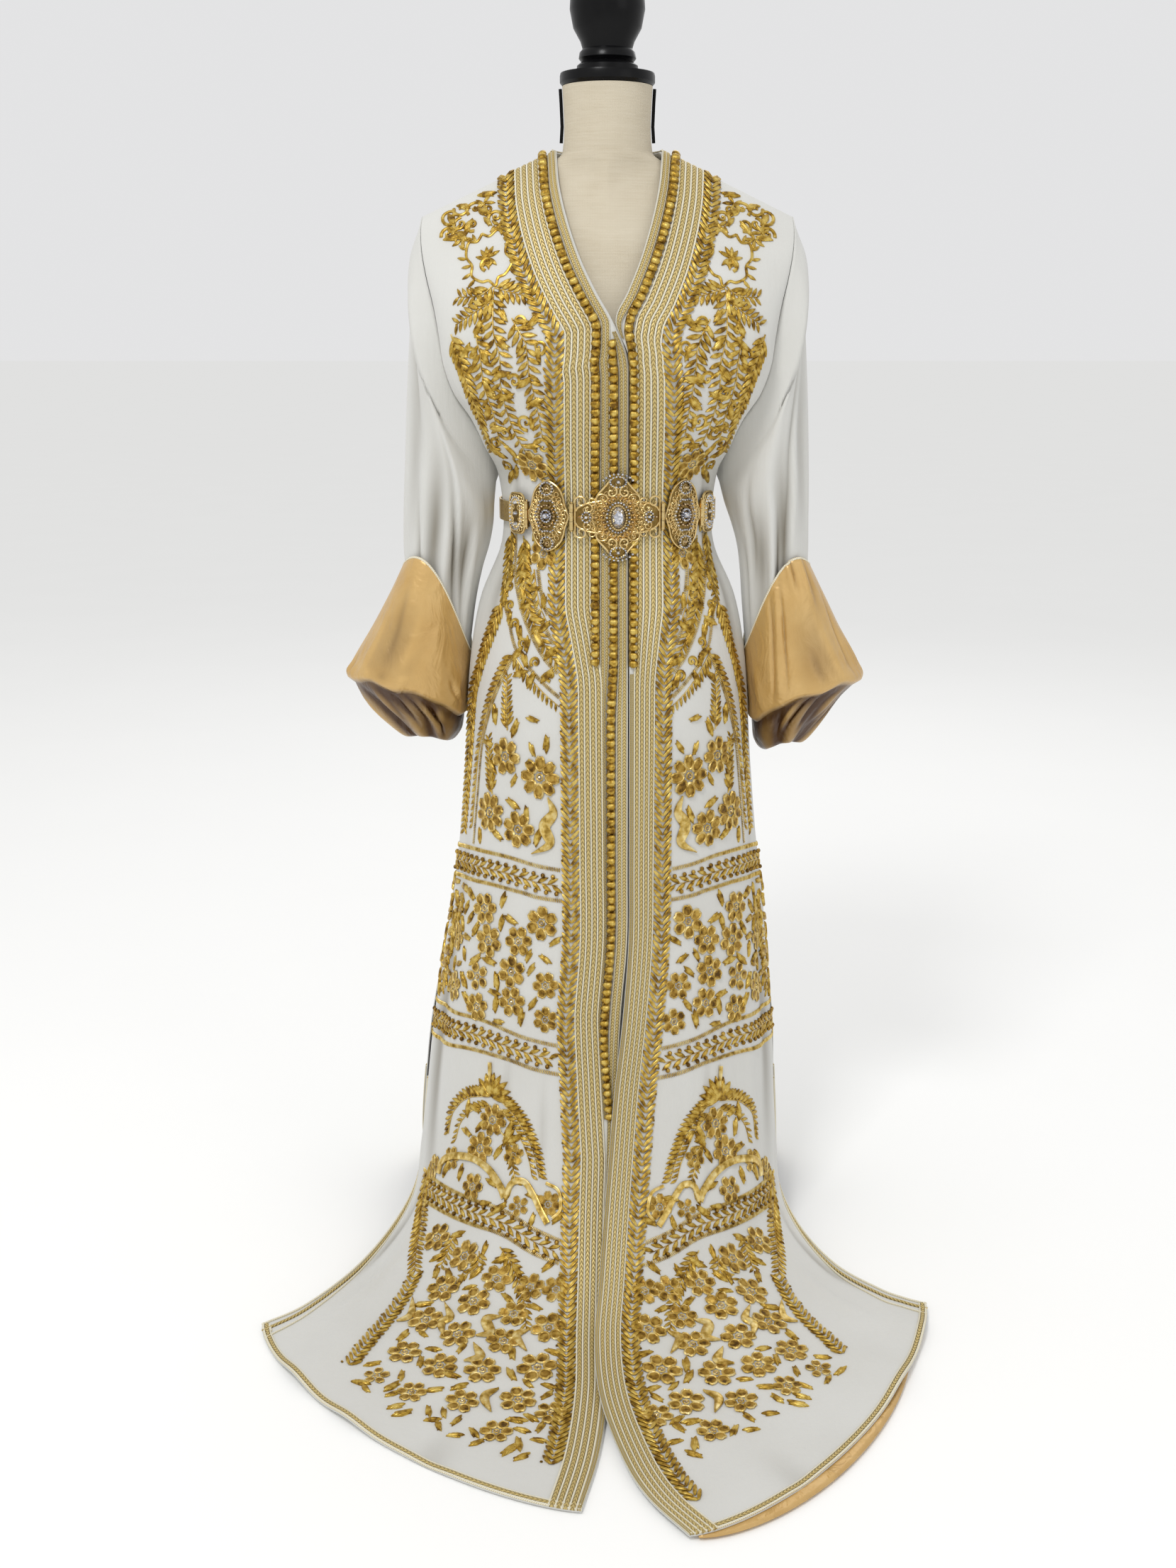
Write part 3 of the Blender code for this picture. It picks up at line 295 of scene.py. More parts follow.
# Creases of a cuff: angle, half width in degrees, first and last ring, depth, and how
# many degrees the crease turns for each ring.
CUFF_FOLDS = {
    Side.LEFT: (
        (62, 5, 0.2, 3.6, -0.0018, 3), (95, 6, 0.8, 3.8, 0.0016, -4), (118, 5, 0.3, 3.0, -0.0014, 5),
        (40, 4, 1.0, 4.0, 0.0020, 2), (23, 2.6, 2.4, 4.3, -0.0034, 0), (30, 2.6, 2.8, 4.3, 0.0024, 0),
        (15, 2.4, 2.6, 4.3, 0.0026, 0), (130, 2.6, 2.2, 3.7, -0.0040, 14), (137, 3, 2.2, 3.7, 0.0022, 14),
        (52, 4, 3.1, 4.2, 0.0018, 0), (71, 5, 3.2, 4.2, -0.0016, 0), (92, 4, 3.1, 4.2, 0.0018, 0),
        (75, 5, 4.1, 6.8, -0.0060, 6), (100, 4, 4.1, 7.4, 0.0050, 9), (112, 4, 4.1, 7.0, -0.0060, 9),
        (54, 5, 4.1, 6.8, 0.0046, 5), (88, 3, 4.1, 6.4, -0.0030, 12), (132, 5, 4.1, 6.8, 0.0040, -4),
        (36, 5, 4.1, 7.4, -0.0058, 7), (20, 5, 4.1, 6.8, 0.0040, 4), (150, 5, 1.0, 5.0, 0.0020, -3),
        (340, 5, 3.5, 6.5, 0.0038, 3), (230, 6, 1.0, 5.0, -0.0024, 3), (270, 5, 2.0, 6.0, 0.0030, 4),
        (300, 6, 0.6, 4.4, -0.0028, -3), (200, 5, 3.6, 6.6, 0.0036, 2), (318, 3, 2.4, 4.3, 0.0024, 0),
    ),
    Side.RIGHT: (
        (101, 3.4, -0.4, 4.4, 0.0044, 5), (94, 2.2, -0.4, 4.4, -0.0034, 5), (108, 2.2, -0.4, 4.4, -0.0034, 5),
        (80, 2.6, -0.5, 1.1, 0.0032, 3), (73, 2.2, -0.5, 1.0, -0.0030, 3), (57, 3, -0.4, 1.2, 0.0030, 3),
        (33, 2.6, 0.2, 4.2, -0.0034, 1), (24, 2.4, 1.2, 4.2, 0.0028, 0), (16, 2.2, 1.6, 4.2, -0.0034, 0),
        (9, 2.2, 1.6, 4.2, 0.0026, 0), (60, 6, 1.0, 4.2, 0.0020, -3), (80, 5, 2.0, 4.2, -0.0018, -2),
        (48, 4, -0.3, 1.6, -0.0024, 4), (126, 5, 4.0, 6.6, -0.0046, -4), (96, 4, 4.0, 6.6, 0.0044, 7),
        (64, 5, 4.0, 6.8, -0.0056, 6), (82, 4, 4.0, 6.6, -0.0048, 8), (44, 5, 4.0, 6.6, 0.0044, 5),
        (22, 5, 4.0, 7.2, -0.0054, 6), (150, 5, 1.0, 5.0, 0.0018, -3), (340, 5, 3.5, 6.5, 0.0036, 3),
        (235, 6, 1.0, 5.0, -0.0026, 3), (275, 5, 2.0, 6.0, 0.0030, 4), (310, 3, 1.0, 4.3, -0.0024, 0),
    ),
}

# Torso of the dress form: height, half width, front and back depth, roundness.
TORSO = (
    (1.3880, 0.0520, 0.0520, 0.0520, 2.0), (1.3700, 0.0510, 0.0505, 0.0505, 2.0),
    (1.3450, 0.0500, 0.0500, 0.0505, 2.0), (1.3220, 0.0515, 0.0500, 0.0510, 2.0),
    (1.3120, 0.0555, 0.0505, 0.0520, 1.9), (1.3020, 0.0760, 0.0515, 0.0560, 1.4),
    (1.2900, 0.1085, 0.0535, 0.0600, 1.15), (1.2740, 0.1450, 0.0580, 0.0650, 1.15),
    (1.2560, 0.1850, 0.0650, 0.0710, 1.25), (1.2360, 0.1940, 0.0740, 0.0770, 1.4),
    (1.2000, 0.1900, 0.0910, 0.0820, 1.7), (1.1500, 0.1750, 0.1090, 0.0840, 2.0),
    (1.1000, 0.1600, 0.1220, 0.0820, 2.0), (1.0500, 0.1450, 0.1200, 0.0780, 2.0),
    (1.0000, 0.1300, 0.1100, 0.0760, 2.0), (0.9500, 0.1200, 0.1020, 0.0750, 2.0),
    (0.9100, 0.1170, 0.1000, 0.0750, 2.0), (0.8600, 0.1230, 0.1040, 0.0820, 2.0),
    (0.8000, 0.1400, 0.1160, 0.1000, 2.0), (0.7300, 0.1520, 0.1240, 0.1120, 2.0),
    (0.6600, 0.1480, 0.1200, 0.1080, 2.0),
)


def spline_rows(table: Sequence[Sequence[float]] | Array, place: Array) -> Array:
    """Rows of a table at fractional row numbers, smooth through every row.

    Args:
        table: the rows.
        place: fractional row numbers, of any shape.

    Returns:
        One row of the table for each place, along a new last axis.
    """
    rows = np.asarray(table, float)
    last = len(rows) - 1
    place = np.clip(np.asarray(place, float), 0, last)
    first = np.minimum(place.astype(int), last - 1)
    t = (place - first)[..., None]
    padded = np.vstack((2 * rows[0] - rows[1], rows, 2 * rows[-1] - rows[-2]))
    p0, p1, p2, p3 = (padded[first + step] for step in range(4))
    return 0.5 * (2 * p1 + (p2 - p0) * t + (2 * p0 - 5 * p1 + 4 * p2 - p3) * t**2
                  + (3 * p1 - p0 - 3 * p2 + p3) * t**3)


def bump(value: Array, centre: Array | float, half_width: float) -> Array:
    """Bell shape, 1 at its centre."""
    return np.exp(-((value - centre) / half_width) ** 2)


def fade(value: Array, first: float, last: float) -> Array:
    """Zero outside the two ends and a smooth arch between them."""
    share = np.clip((value - first) / (last - first), 0, 1)
    return np.sin(math.pi * share) ** 2


def pair(u: Array, v: Array) -> Sequence[Array]:
    """Places across and down as numbers of one shape."""
    return np.broadcast_arrays(np.asarray(u, float), np.asarray(v, float))


def run_of(line: Array) -> Array:
    """Distance along a line of points to each of them."""
    return np.concatenate(([0.0], np.cumsum(np.linalg.norm(np.diff(line, axis=0), axis=1))))


def folds(table: Sequence[Sequence[float]], u: Array, v: Array, wrap: bool = False) -> Array:
    """Height of the folds of a table.

    Args:
        table: place across, half width, first and last row, depth and lean of each fold.
        u: places across.
        v: places down.
        wrap: whether u is an angle, which goes round.

    Returns:
        The sum of the folds at each place.
    """
    total = np.zeros(np.broadcast(u, v).shape)
    for place, width, first, last, depth, lean in table:
        off = u - place - lean * (v - first)
        total += depth * bump((off + 180) % 360 - 180 if wrap else off, 0.0, width) * fade(v, first, last)
    return total


def unit(vectors: Array) -> Array:
    """The same directions with length 1."""
    return vectors / np.maximum(np.linalg.norm(vectors, axis=-1, keepdims=True), 1e-12)


class Surface:
    """A curved sheet given by two coordinates, u across and v down, with its folds."""

    u_range: tuple[float, float] = (0.0, 1.0)
    v_range: tuple[float, float] = (0.0, 1.0)
    u_step: float = 0.004
    v_step: float = 0.05
    turn: float = 1.0
    deepest: float = 0.006   # depth at which the painted shade of a fold is full

    def smooth(self, u: Array, v: Array) -> Array:
        """Points of the sheet without its folds."""
        raise NotImplementedError

    def relief(self, u: Array, v: Array) -> Array:
        """Height of the folds."""
        return np.zeros(np.broadcast(u, v).shape)

    def shade(self, u: Array, v: Array) -> Array:
        """Painted shade of the folds: how deep each place lies in a fold, 0 to 1."""
        return np.clip(-self.relief(u, v) / self.deepest, 0, 1)

    def steps(self, u: Array, v: Array) -> tuple[Array, Array]:
        """Change of the point for a unit of u and for a unit of v."""
        low = np.maximum(u - self.u_step, self.u_range[0])
        high = np.minimum(u + self.u_step, self.u_range[1])
        up = np.maximum(v - self.v_step, self.v_range[0])
        down = np.minimum(v + self.v_step, self.v_range[1])
        across = (self.smooth(high, v) - self.smooth(low, v)) / (high - low)[..., None]
        along = (self.smooth(u, down) - self.smooth(u, up)) / (down - up)[..., None]
        return across, along

    def normal(self, u: Array, v: Array) -> Array:
        """Outward direction."""
        across, along = self.steps(u, v)
        return unit(np.cross(along, across)) * self.turn

    def point(self, u: Array, v: Array, lift: Array | float = 0.0) -> Array:
        """Points of the folded sheet, raised by lift along the outward direction."""
        u = np.clip(np.asarray(u, float), *self.u_range)
        v = np.clip(np.asarray(v, float), *self.v_range)
        u, v = np.broadcast_arrays(u, v)
        height = self.relief(u, v) + lift
        return self.smooth(u, v) + self.normal(u, v) * height[..., None]

    def local(self, u: Array, v: Array) -> tuple[Array, Array, Array]:
        """Local flat frame: how (x across, y down) in metres turn into (u, v).

        Args:
            u: places across.
            v: places down.

        Returns:
            The 2 x 2 matrices, and the unit directions of x and y.
        """
        u, v = np.asarray(u, float), np.asarray(v, float)
        across, along = self.steps(u, v)
        x_way = unit(across)
        skew = np.sum(along * x_way, axis=-1)
        y_way = unit(along - x_way * skew[..., None])
        a, d = np.linalg.norm(across, axis=-1), np.sum(along * y_way, axis=-1)
        matrix = np.zeros(a.shape + (2, 2))
        matrix[..., 0, 0] = 1 / a
        matrix[..., 0, 1] = -skew / (a * d)
        matrix[..., 1, 1] = 1 / d
        return matrix, x_way, y_way

    def shifted(self, u: Array, v: Array, x: Array, y: Array) -> tuple[Array, Array]:
        """Places that lie x across and y down, in metres, from (u, v)."""
        matrix, _, _ = self.local(u, v)
        return (u + matrix[..., 0, 0] * x + matrix[..., 0, 1] * y, v + matrix[..., 1, 1] * y)


class Panel(Surface):
    """A front panel: each row is a quarter of a rounded ellipse between two edge points."""

    APEX = 0.004          # x of the body's middle, from where the rows curve to both sides
    BUST, KNEE = 1.10, 0.30  # heights between which they do so, not from their centre edge

    def __init__(self, side: Side) -> None:
        """Read the rows of the panel on this side."""
        rows = []
        for cz, cy, x_left, x_right, half, sy, sz, roundness in FRONT_UPPER:
            edge = x_left if side is Side.LEFT else x_right
            apex = self.APEX if cz < self.BUST else edge
            rows.append((edge, cy, cz, side.value * half, sy, sz, roundness, apex))
        for cz, cy, cx, sx, sy, sz, roundness in (LEFT_LOWER if side is Side.LEFT else RIGHT_LOWER):
            rows.append((cx, cy, cz, sx, sy, sz, roundness, self.APEX if cz > self.KNEE else cx))
        rows[0] = rows[0][:1] + (-SEAM,) + rows[0][2:4] + (-SEAM,) + rows[0][5:]
        self.side = side
        self.table = np.array(rows)
        self.folds = FRONT_FOLDS[side]
        self.turn = float(side.value)
        self.last = float(len(rows) - 1)
        self.v_range = (0.0, self.last)
        band = np.array(BANDS[side])
        self.band_rows, self.band_inner, self.band_outer = band[:, 0], band[:, 1], band[:, 2]

    def smooth(self, u: Array, v: Array) -> Array:
        """Points of the panel without its folds."""
        u, v = pair(u, v)
        cx, cy, cz, sx, sy, sz, roundness, apex = np.moveaxis(spline_rows(self.table, v), -1, 0)
        ratio = (cx - apex) / (sx - apex)
        start = np.copysign(np.arcsin(np.minimum(np.abs(ratio) ** (roundness / 2), 1.0)), ratio)
        angle = start + (math.pi / 2 - start) * u
        along = np.copysign(np.abs(np.sin(angle)) ** (2 / roundness), np.sin(angle))
        back = 1 - np.maximum(np.cos(angle), 0.0) ** (2 / roundness)
        x = apex + (sx - apex) * along
        return np.stack((x, cy + (sy - cy) * back, cz + (sz - cz) * (x - cx) / (sx - cx)), axis=-1)

    def relief(self, u: Array, v: Array) -> Array:
        """Height of the folds."""
        return folds(self.folds, u, v)

    def across_at(self, distance: Array, v: Array) -> Array:
        """Places that lie this far from the centre edge, one for each row number."""
        distance, v = pair(distance, v)
        places = np.linspace(0.0, 1.0, 121)
        line = self.smooth(places[None, :], v.reshape(-1)[:, None])
        run = np.concatenate((np.zeros((line.shape[0], 1)),
                              np.cumsum(np.linalg.norm(np.diff(line, axis=1), axis=2), axis=1)), axis=1)
        found = [np.interp(d, r, places) for d, r in zip(distance.reshape(-1), run)]
        return np.array(found).reshape(v.shape)

    def stripe(self, share: float, v: Array) -> Array:
        """Distance from the centre edge at a share of the way across the braid band."""
        inner = np.interp(v, self.band_rows, self.band_inner)
        outer = np.interp(v, self.band_rows, self.band_outer)
        return inner + (outer - inner) * share

    def beside(self, w: Array, v: Array) -> Array:
        """Place across, where w is 0 at the outer line of the chevrons and 1 at the side."""
        line = self.across_at(self.stripe(1.0, v) + CHEVRON_WIDTH + CHEVRON_GAP, v)
        return line + np.asarray(w) * (1 - line)

    def at(self, w: float, row: float) -> float:
        """Place across of one spot beside the chevrons."""
        return float(self.beside(w, np.array(row)))


class BackPanel(Panel):
    """The back, u from -1 to 1. Its top row is the neckline and the shoulders."""

    NECK = 0.30            # share of the half width that the neckline takes
    NECK_X, NECK_Y = 0.061, 0.060    # half width and depth of the neckline
    SHOULDER_X = 0.153     # from the neck to the point of the shoulder
    NECK_Z, NECK_FALL, SHOULDER_FALL = 1.3200, 0.002, 0.071
    BLEND = 2.0            # rows over which the neckline gives way to the back
    u_range = (-1.0, 1.0)

    def __init__(self) -> None:
        """Read the rows of the back."""
        rows = [(0.0, self.NECK_Y, self.NECK_Z, 0.214, SEAM, 1.2470, 2.0, 0.0)]
        rows += [(0.0, cy, cz, half, sy, sz, 2.0, 0.0) for cz, cy, half, sy, sz, _ in BACK_ROWS]
        self.table = np.array(rows)
        self.middles = np.array([(0.0,)] + [(line[5],) for line in BACK_ROWS])
        self.folds = BACK_FOLDS
        self.turn = -1.0
        self.last = float(len(rows) - 1)
        self.v_range = (0.0, self.last)

    def smooth(self, u: Array, v: Array) -> Array:
        """Points of the back without its folds."""
        u, v = pair(u, v)
        side, reach = np.where(u >= 0, 1.0, -1.0), np.abs(u)
        body = super().smooth(reach, v)
        neck = np.minimum(reach / self.NECK, 1.0) * math.pi / 2
        beyond = np.maximum(reach - self.NECK, 0.0) / (1 - self.NECK)
        top = np.stack((self.NECK_X * np.sin(neck) + self.SHOULDER_X * beyond,
                        SEAM + self.NECK_Y * np.cos(neck),
                        self.NECK_Z - self.NECK_FALL * np.sin(neck) - self.SHOULDER_FALL * beyond), axis=-1)
        share = (np.maximum(1 - v / self.BLEND, 0.0) ** 1.6)[..., None]
        body = top * share + body * (1 - share)
        middle = spline_rows(self.middles, v)[..., 0]
        return np.stack((side * body[..., 0] + middle, body[..., 1], body[..., 2]), axis=-1)

    def relief(self, u: Array, v: Array) -> Array:
        """Height of the folds, the same on both halves."""
        return super().relief(np.abs(u), v)


def armhole(side: Side, angle: Array) -> Array:
    """Armhole edge: angle 0 at the shoulder, 180 degrees at the underarm, front first."""
    front = [(half, y, z) for _, _, _, _, half, y, z, _ in FRONT_UPPER[:12]]
    front[0], front[11] = (0.2140, 0.0, 1.2470), (0.1315, 0.0, 0.9550)
    back = [front[0]] + [(half, y, z) for _, _, half, y, z, _ in BACK_ROWS[:10]] + [front[11]]
    turn = np.asarray(angle, float) % 360.0
    ahead = spline_rows(front, turn / 180.0 * 11)
    behind = spline_rows(back, (360.0 - turn) / 180.0 * 11)
    edge = np.where((turn <= 180.0)[..., None], ahead, behind)
    return edge * np.array((side.value, 1.0, 1.0))


class Tube(Surface):
    """A sleeve or cuff: rings given by an outer and an inner point. u is degrees, v rings."""

    u_range = (-720.0, 1080.0)
    u_step = 1.5
    v_step = 0.05

    def __init__(self, side: Side, table: Sequence[Sequence[float]]) -> None:
        """Keep the rings of the tube on this side."""
        self.side = side
        self.table = np.array(table)
        self.turn = -float(side.value)
        self.v_range = (0.0, float(len(table) - 1))

    def ring(self, row: Array, u: Array, swing: Array | float, rise: Array | float) -> Array:
        """Points of upright rings, from their rows of the table."""
        outer_x, outer_z, inner_x, inner_z, depth = (row[..., k] for k in range(5))
        c, s = np.cos(np.radians(u)), np.sin(np.radians(u))
        x = (outer_x + inner_x) / 2 + (outer_x - inner_x) / 2 * c + swing * s * s
        z = (outer_z + inner_z) / 2 + (outer_z - inner_z) / 2 * c + (rise - 0.3 * swing) * s * s
        return np.stack((self.side.value * x, -depth * s, z), axis=-1)

    def away(self, u: Array) -> Array:
        """Level direction out of the tube at an angle."""
        c, s = np.cos(np.radians(u)), np.sin(np.radians(u))
        return np.stack((self.side.value * c, -s, np.zeros_like(c)), axis=-1)


class Sleeve(Tube):
    """A sleeve: ring 0 is the armhole seam, and the later rings follow the table."""

    CROWN = 0.0075   # how far the head of the sleeve stands out
    deepest = 0.010

    def __init__(self, side: Side) -> None:
        """Read the rings of the sleeve on this side."""
        super().__init__(side, SLEEVES[side])
        self.v_range = (0.0, 7.0)

    def smooth(self, u: Array, v: Array) -> Array:
        """Points of the sleeve with its folds, which push it in level."""
        u, v = pair(u, v)
        down = self.ring(np.broadcast_to(self.table[0], u.shape + (6,)), u, self.table[0][5], 0.0)
        start = armhole(self.side, u)
        start = start + unit(down - start) * 0.0008
        low = np.clip(v, 0, 1)[..., None]
        row = spline_rows(self.table, v - 1)
        base = np.where((v < 1.0)[..., None], start * (1 - low) + down * low,
                        self.ring(row, u, row[..., 5], 0.0))
        crown = self.CROWN * fade(v, 0.0, 1.6) * np.maximum(np.cos(np.radians(u)), 0.0) ** 2
        return base + self.away(u) * (self.push(u, v) + crown)[..., None]

    def push(self, u: Array, v: Array) -> Array:
        """How far the folds push the cloth out, level."""
        return folds(SLEEVE_FOLDS + SLEEVE_CREASES[self.side], u, v, wrap=True)

    def shade(self, u: Array, v: Array) -> Array:
        """Painted shade of the folds: how deep each place lies in a fold, 0 to 1."""
        return np.clip(-self.push(u, v) / self.deepest, 0, 1) ** 1.2


class Cuff(Tube):
    """A turned-back cuff from its top edge round the puffed fold to the rim inside."""

    LIP, RIM = 4.02, 9.0   # rings of the wavy lip and of the rim inside
    TUCK = 0.0060          # how far the satin turns in under the lip
    GATHER = 0.0048        # depth of the gathers
    deepest = 0.0075

    def __init__(self, side: Side) -> None:
        """Read the rings of the cuff on this side."""
        super().__init__(side, CUFFS[side])

    def smooth(self, u: Array, v: Array) -> Array:
        """Points of the cuff with its gathers and creases."""
        u, v = pair(u, v)
        row = spline_rows(self.table, v)
        base = self.ring(row, u, 0.0, row[..., 5])
        return base + self.away(u) * (self.push(u, v) - self.TUCK * self.under(u, v))[..., None]

    def under(self, u: Array, v: Array) -> Array:
        """Share of the way past the wavy lip, where the satin turns in under itself."""
        lip = self.LIP + 0.15 * np.sin(np.radians(5 * u + 40)) + 0.09 * np.sin(np.radians(9 * u + 100))
        return np.clip((v - lip) / 0.32, 0, 1) * np.clip((self.RIM - v) / 2.0, 0, 1)

    def push(self, u: Array, v: Array) -> Array:
        """How far the gathers and creases push the satin out, level."""
        gather = fade(v, 3.9, 9.6) * (0.30 + 0.70 * np.cos(np.radians((u % 360) / 2)) ** 2)
        total = self.GATHER * np.cos(np.radians(7 * u + 20 * v + 25 * np.sin(np.radians(2 * u)))) * gather
        total += 0.0025 * np.cos(np.radians(3 * u - 35)) * fade(v, 0.6, 4.4)
        return total + folds(CUFF_FOLDS[self.side], u, v, wrap=True)

    def shade(self, u: Array, v: Array) -> Array:
        """Painted shade: how deep each place lies in a fold or under the lip, 0 to 1."""
        # painted shade under the lip, where the satin turns in under itself
        painted_lip_shade = 0.86 * self.under(u, v) * (1 + 0.16 * fade(v, 4.0, 5.4))
        return np.clip(-self.push(u, v) / self.deepest * (v < 8.5) + painted_lip_shade, 0, 1)


class Waist(Surface):
    """The line of the belt: u is metres along the waist from its centre, v metres down."""

    HALF_WIDTH, FRONT, BACK = 0.1300, 0.1196, 0.0890
    CENTRE_X, HEIGHT = 0.012, 0.909
    u_range = (-0.6, 0.6)
    v_range = (-0.2, 0.2)
    u_step = 0.001
    v_step = 0.001

    def smooth(self, u: Array, v: Array) -> Array:
        """Points on the inner side of the belt."""
        return self.raised(u, v, 0.0)

    def raised(self, u: Array, v: Array, lift: float) -> Array:
        """Points at a fixed height over the inner side of the belt."""
        u, v = pair(u, v)
        angles = np.linspace(-math.pi, math.pi, 721)
        half = self.HALF_WIDTH + lift
        depth = np.where(np.cos(angles) > 0, self.FRONT + lift, self.BACK + lift)
        x, y = half * np.sin(angles), -depth * np.cos(angles)
        run = run_of(np.stack((x, y), axis=-1))
        start = np.interp(math.asin(self.CENTRE_X / half), angles, run)
        place = (start + u * (1 + lift / 0.12)) % run[-1]
        return np.stack((np.interp(place, run, x), np.interp(place, run, y), self.HEIGHT - v), axis=-1)


@dataclass(frozen=True)
class Prototype:
    """A small shape modelled once, lying flat with +z outwards, and then repeated."""

    points: Array
    faces: Faces
    uv: Array

    def curved(self, taper: float, bend: float) -> Prototype:
        """The same shape with its two ends drawn thin and its far end bent aside."""
        share = self.points[:, 1] / self.points[:, 1].max()
        x = self.points[:, 0] * (1 - taper * (2 * share - 1) ** 2) + bend * share**2
        return Prototype(np.column_stack((x, self.points[:, 1:])), self.faces, self.uv)


def only(item: Item) -> None:
    """Select this object alone and make it the active one."""
    bpy.ops.object.select_all(action="DESELECT")
    item.select_set(True)
    bpy.context.view_layer.objects.active = item


def added(operator: Callable[..., Any], **settings: Any) -> Item:
    """Add a primitive with nothing else selected, and return it."""
    bpy.ops.object.select_all(action="DESELECT")
    operator(**settings)
    return bpy.context.object


def top_faces(item: Item) -> None:
    """In edit mode, select only the faces that lie at the top of the shape."""
    bpy.ops.object.mode_set(mode="OBJECT")
    mesh = item.data
    highest = max(vertex.co.z for vertex in mesh.vertices)
    for vertex in mesh.vertices:
        vertex.select = False
    for edge in mesh.edges:
        edge.select = False
    for face in mesh.polygons:
        face.select = abs(face.center.z - highest) < 1e-5
    bpy.ops.object.mode_set(mode="EDIT")
    bpy.ops.mesh.select_mode(type="FACE")


def taken(item: Item) -> Prototype:
    """Read a modelled shape as a prototype and remove the object.

    Args:
        item: a mesh object with its place in its vertices or its transform.

    Returns:
        Its points, faces, and a flat map in which x and y are millimetres.
    """
    only(item)
    bpy.ops.object.transform_apply(location=True, rotation=True, scale=True)
    mesh = item.data
    points = np.array([vertex.co for vertex in mesh.vertices], float)
    faces = [tuple(face.vertices) for face in mesh.polygons]
    bpy.data.objects.remove(item, do_unlink=True)
    return Prototype(points, faces, points[:, :2] / MILLIMETRE)


def domed(sides: int, width: float, length: float, rims: Iterable[tuple[float, float]],
          tip: float = 1.0, name: str = "stitch") -> Prototype:
    """A padded satin-stitch shape: a flat oval whose top is inset and raised in steps.

    Args:
        sides: corners of the outline.
        width: size across, in metres.
        length: size along y, in metres.
        rims: inset and rise of each step, as shares of the width.
        tip: how far the two ends are drawn out to points.
        name: name while it is modelled.

    Returns:
        The prototype, from y = 0 to y = length.
    """
    item = added(bpy.ops.mesh.primitive_cylinder_add, vertices=sides, radius=0.5, depth=0.16)
    item.name = name
    for vertex in item.data.vertices:
        if abs(vertex.co.y) > 0.47:
            vertex.co.y *= tip
            vertex.co.x *= 0.4
    ratio = length / width / tip
    bpy.ops.object.mode_set(mode="EDIT")
    bpy.ops.mesh.select_all(action="SELECT")
    bpy.ops.transform.resize(value=(1.0, ratio, 1.0))
    for inset, rise in rims:
        top_faces(item)
        bpy.ops.mesh.inset(thickness=inset, depth=rise)
    bpy.ops.object.mode_set(mode="OBJECT")
    item.scale = (width, width, width)
    item.location = (0.0, length / 2, 0.08 * width)
    return taken(item)


def rounded(segments: int, rings: int, size: tuple[float, float, float]) -> Prototype:
    """A bead or couched bar: a ball pulled to this size, resting on z = 0."""
    item = added(bpy.ops.mesh.primitive_uv_sphere_add, segments=segments, ring_count=rings, radius=0.5,
                 rotation=(math.pi / 2, 0, 0))
    item.scale = (size[0], size[2], size[1])
    item.location = (0.0, 0.0, size[2] * 0.36)
    return taken(item)


def knotted() -> Prototype:
    """A knotted button: a ball with the turns of its cord standing out round it."""
    item = added(bpy.ops.mesh.primitive_uv_sphere_add, segments=12, ring_count=6, radius=0.5)
    for vertex in item.data.vertices:
        x, y, z = vertex.co
        swell = 1 + 0.10 * math.cos(3 * math.atan2(y, x) + 5 * z)
        vertex.co.x *= swell
        vertex.co.y *= swell
    item.scale = (0.0098, 0.0086, 0.0074)
    item.location = (0.0, 0.0, 0.0030)
    return taken(item)


def ringed(radius: float, wire: float, steps: int = 12, sides: int = 4) -> Prototype:
    """A ring of cord lying flat."""
    return taken(added(bpy.ops.mesh.primitive_torus_add, major_radius=radius, minor_radius=wire,
                       major_segments=steps, minor_segments=sides, location=(0, 0, wire * 0.7)))


def rimmed(width: float, length: float, wire: float) -> Prototype:
    """The cord round a petal: an oval ring from y = 0 to y = length, dented at its outer end."""
    item = added(bpy.ops.mesh.primitive_torus_add, major_radius=width / 2 - wire, minor_radius=wire,
                 major_segments=12, minor_segments=4)
    for vertex in item.data.vertices:
        vertex.co.y *= length / width
        if vertex.co.y > 0.3 * length:
            vertex.co.y -= 0.10 * length * (1 - min(abs(vertex.co.x) / (0.2 * width), 1.0))
    item.location = (0.0, length / 2, wire * 1.1)
    return taken(item)


def faceted(width: float, length: float, height: float, sides: int = 8) -> Prototype:
    """A cut stone: a low cone with a flat table, and a bevelled girdle."""
    item = added(bpy.ops.mesh.primitive_cone_add, vertices=sides, radius1=0.5, radius2=0.30, depth=1.0,
                 location=(0, 0, 0))
    bpy.ops.object.mode_set(mode="EDIT")
    top_faces(item)
    bpy.ops.mesh.inset(thickness=0.12, depth=0.16)
    bpy.ops.object.mode_set(mode="OBJECT")
    item.scale = (width, length, height)
    item.location = (0, 0, height / 2)
    return taken(item)


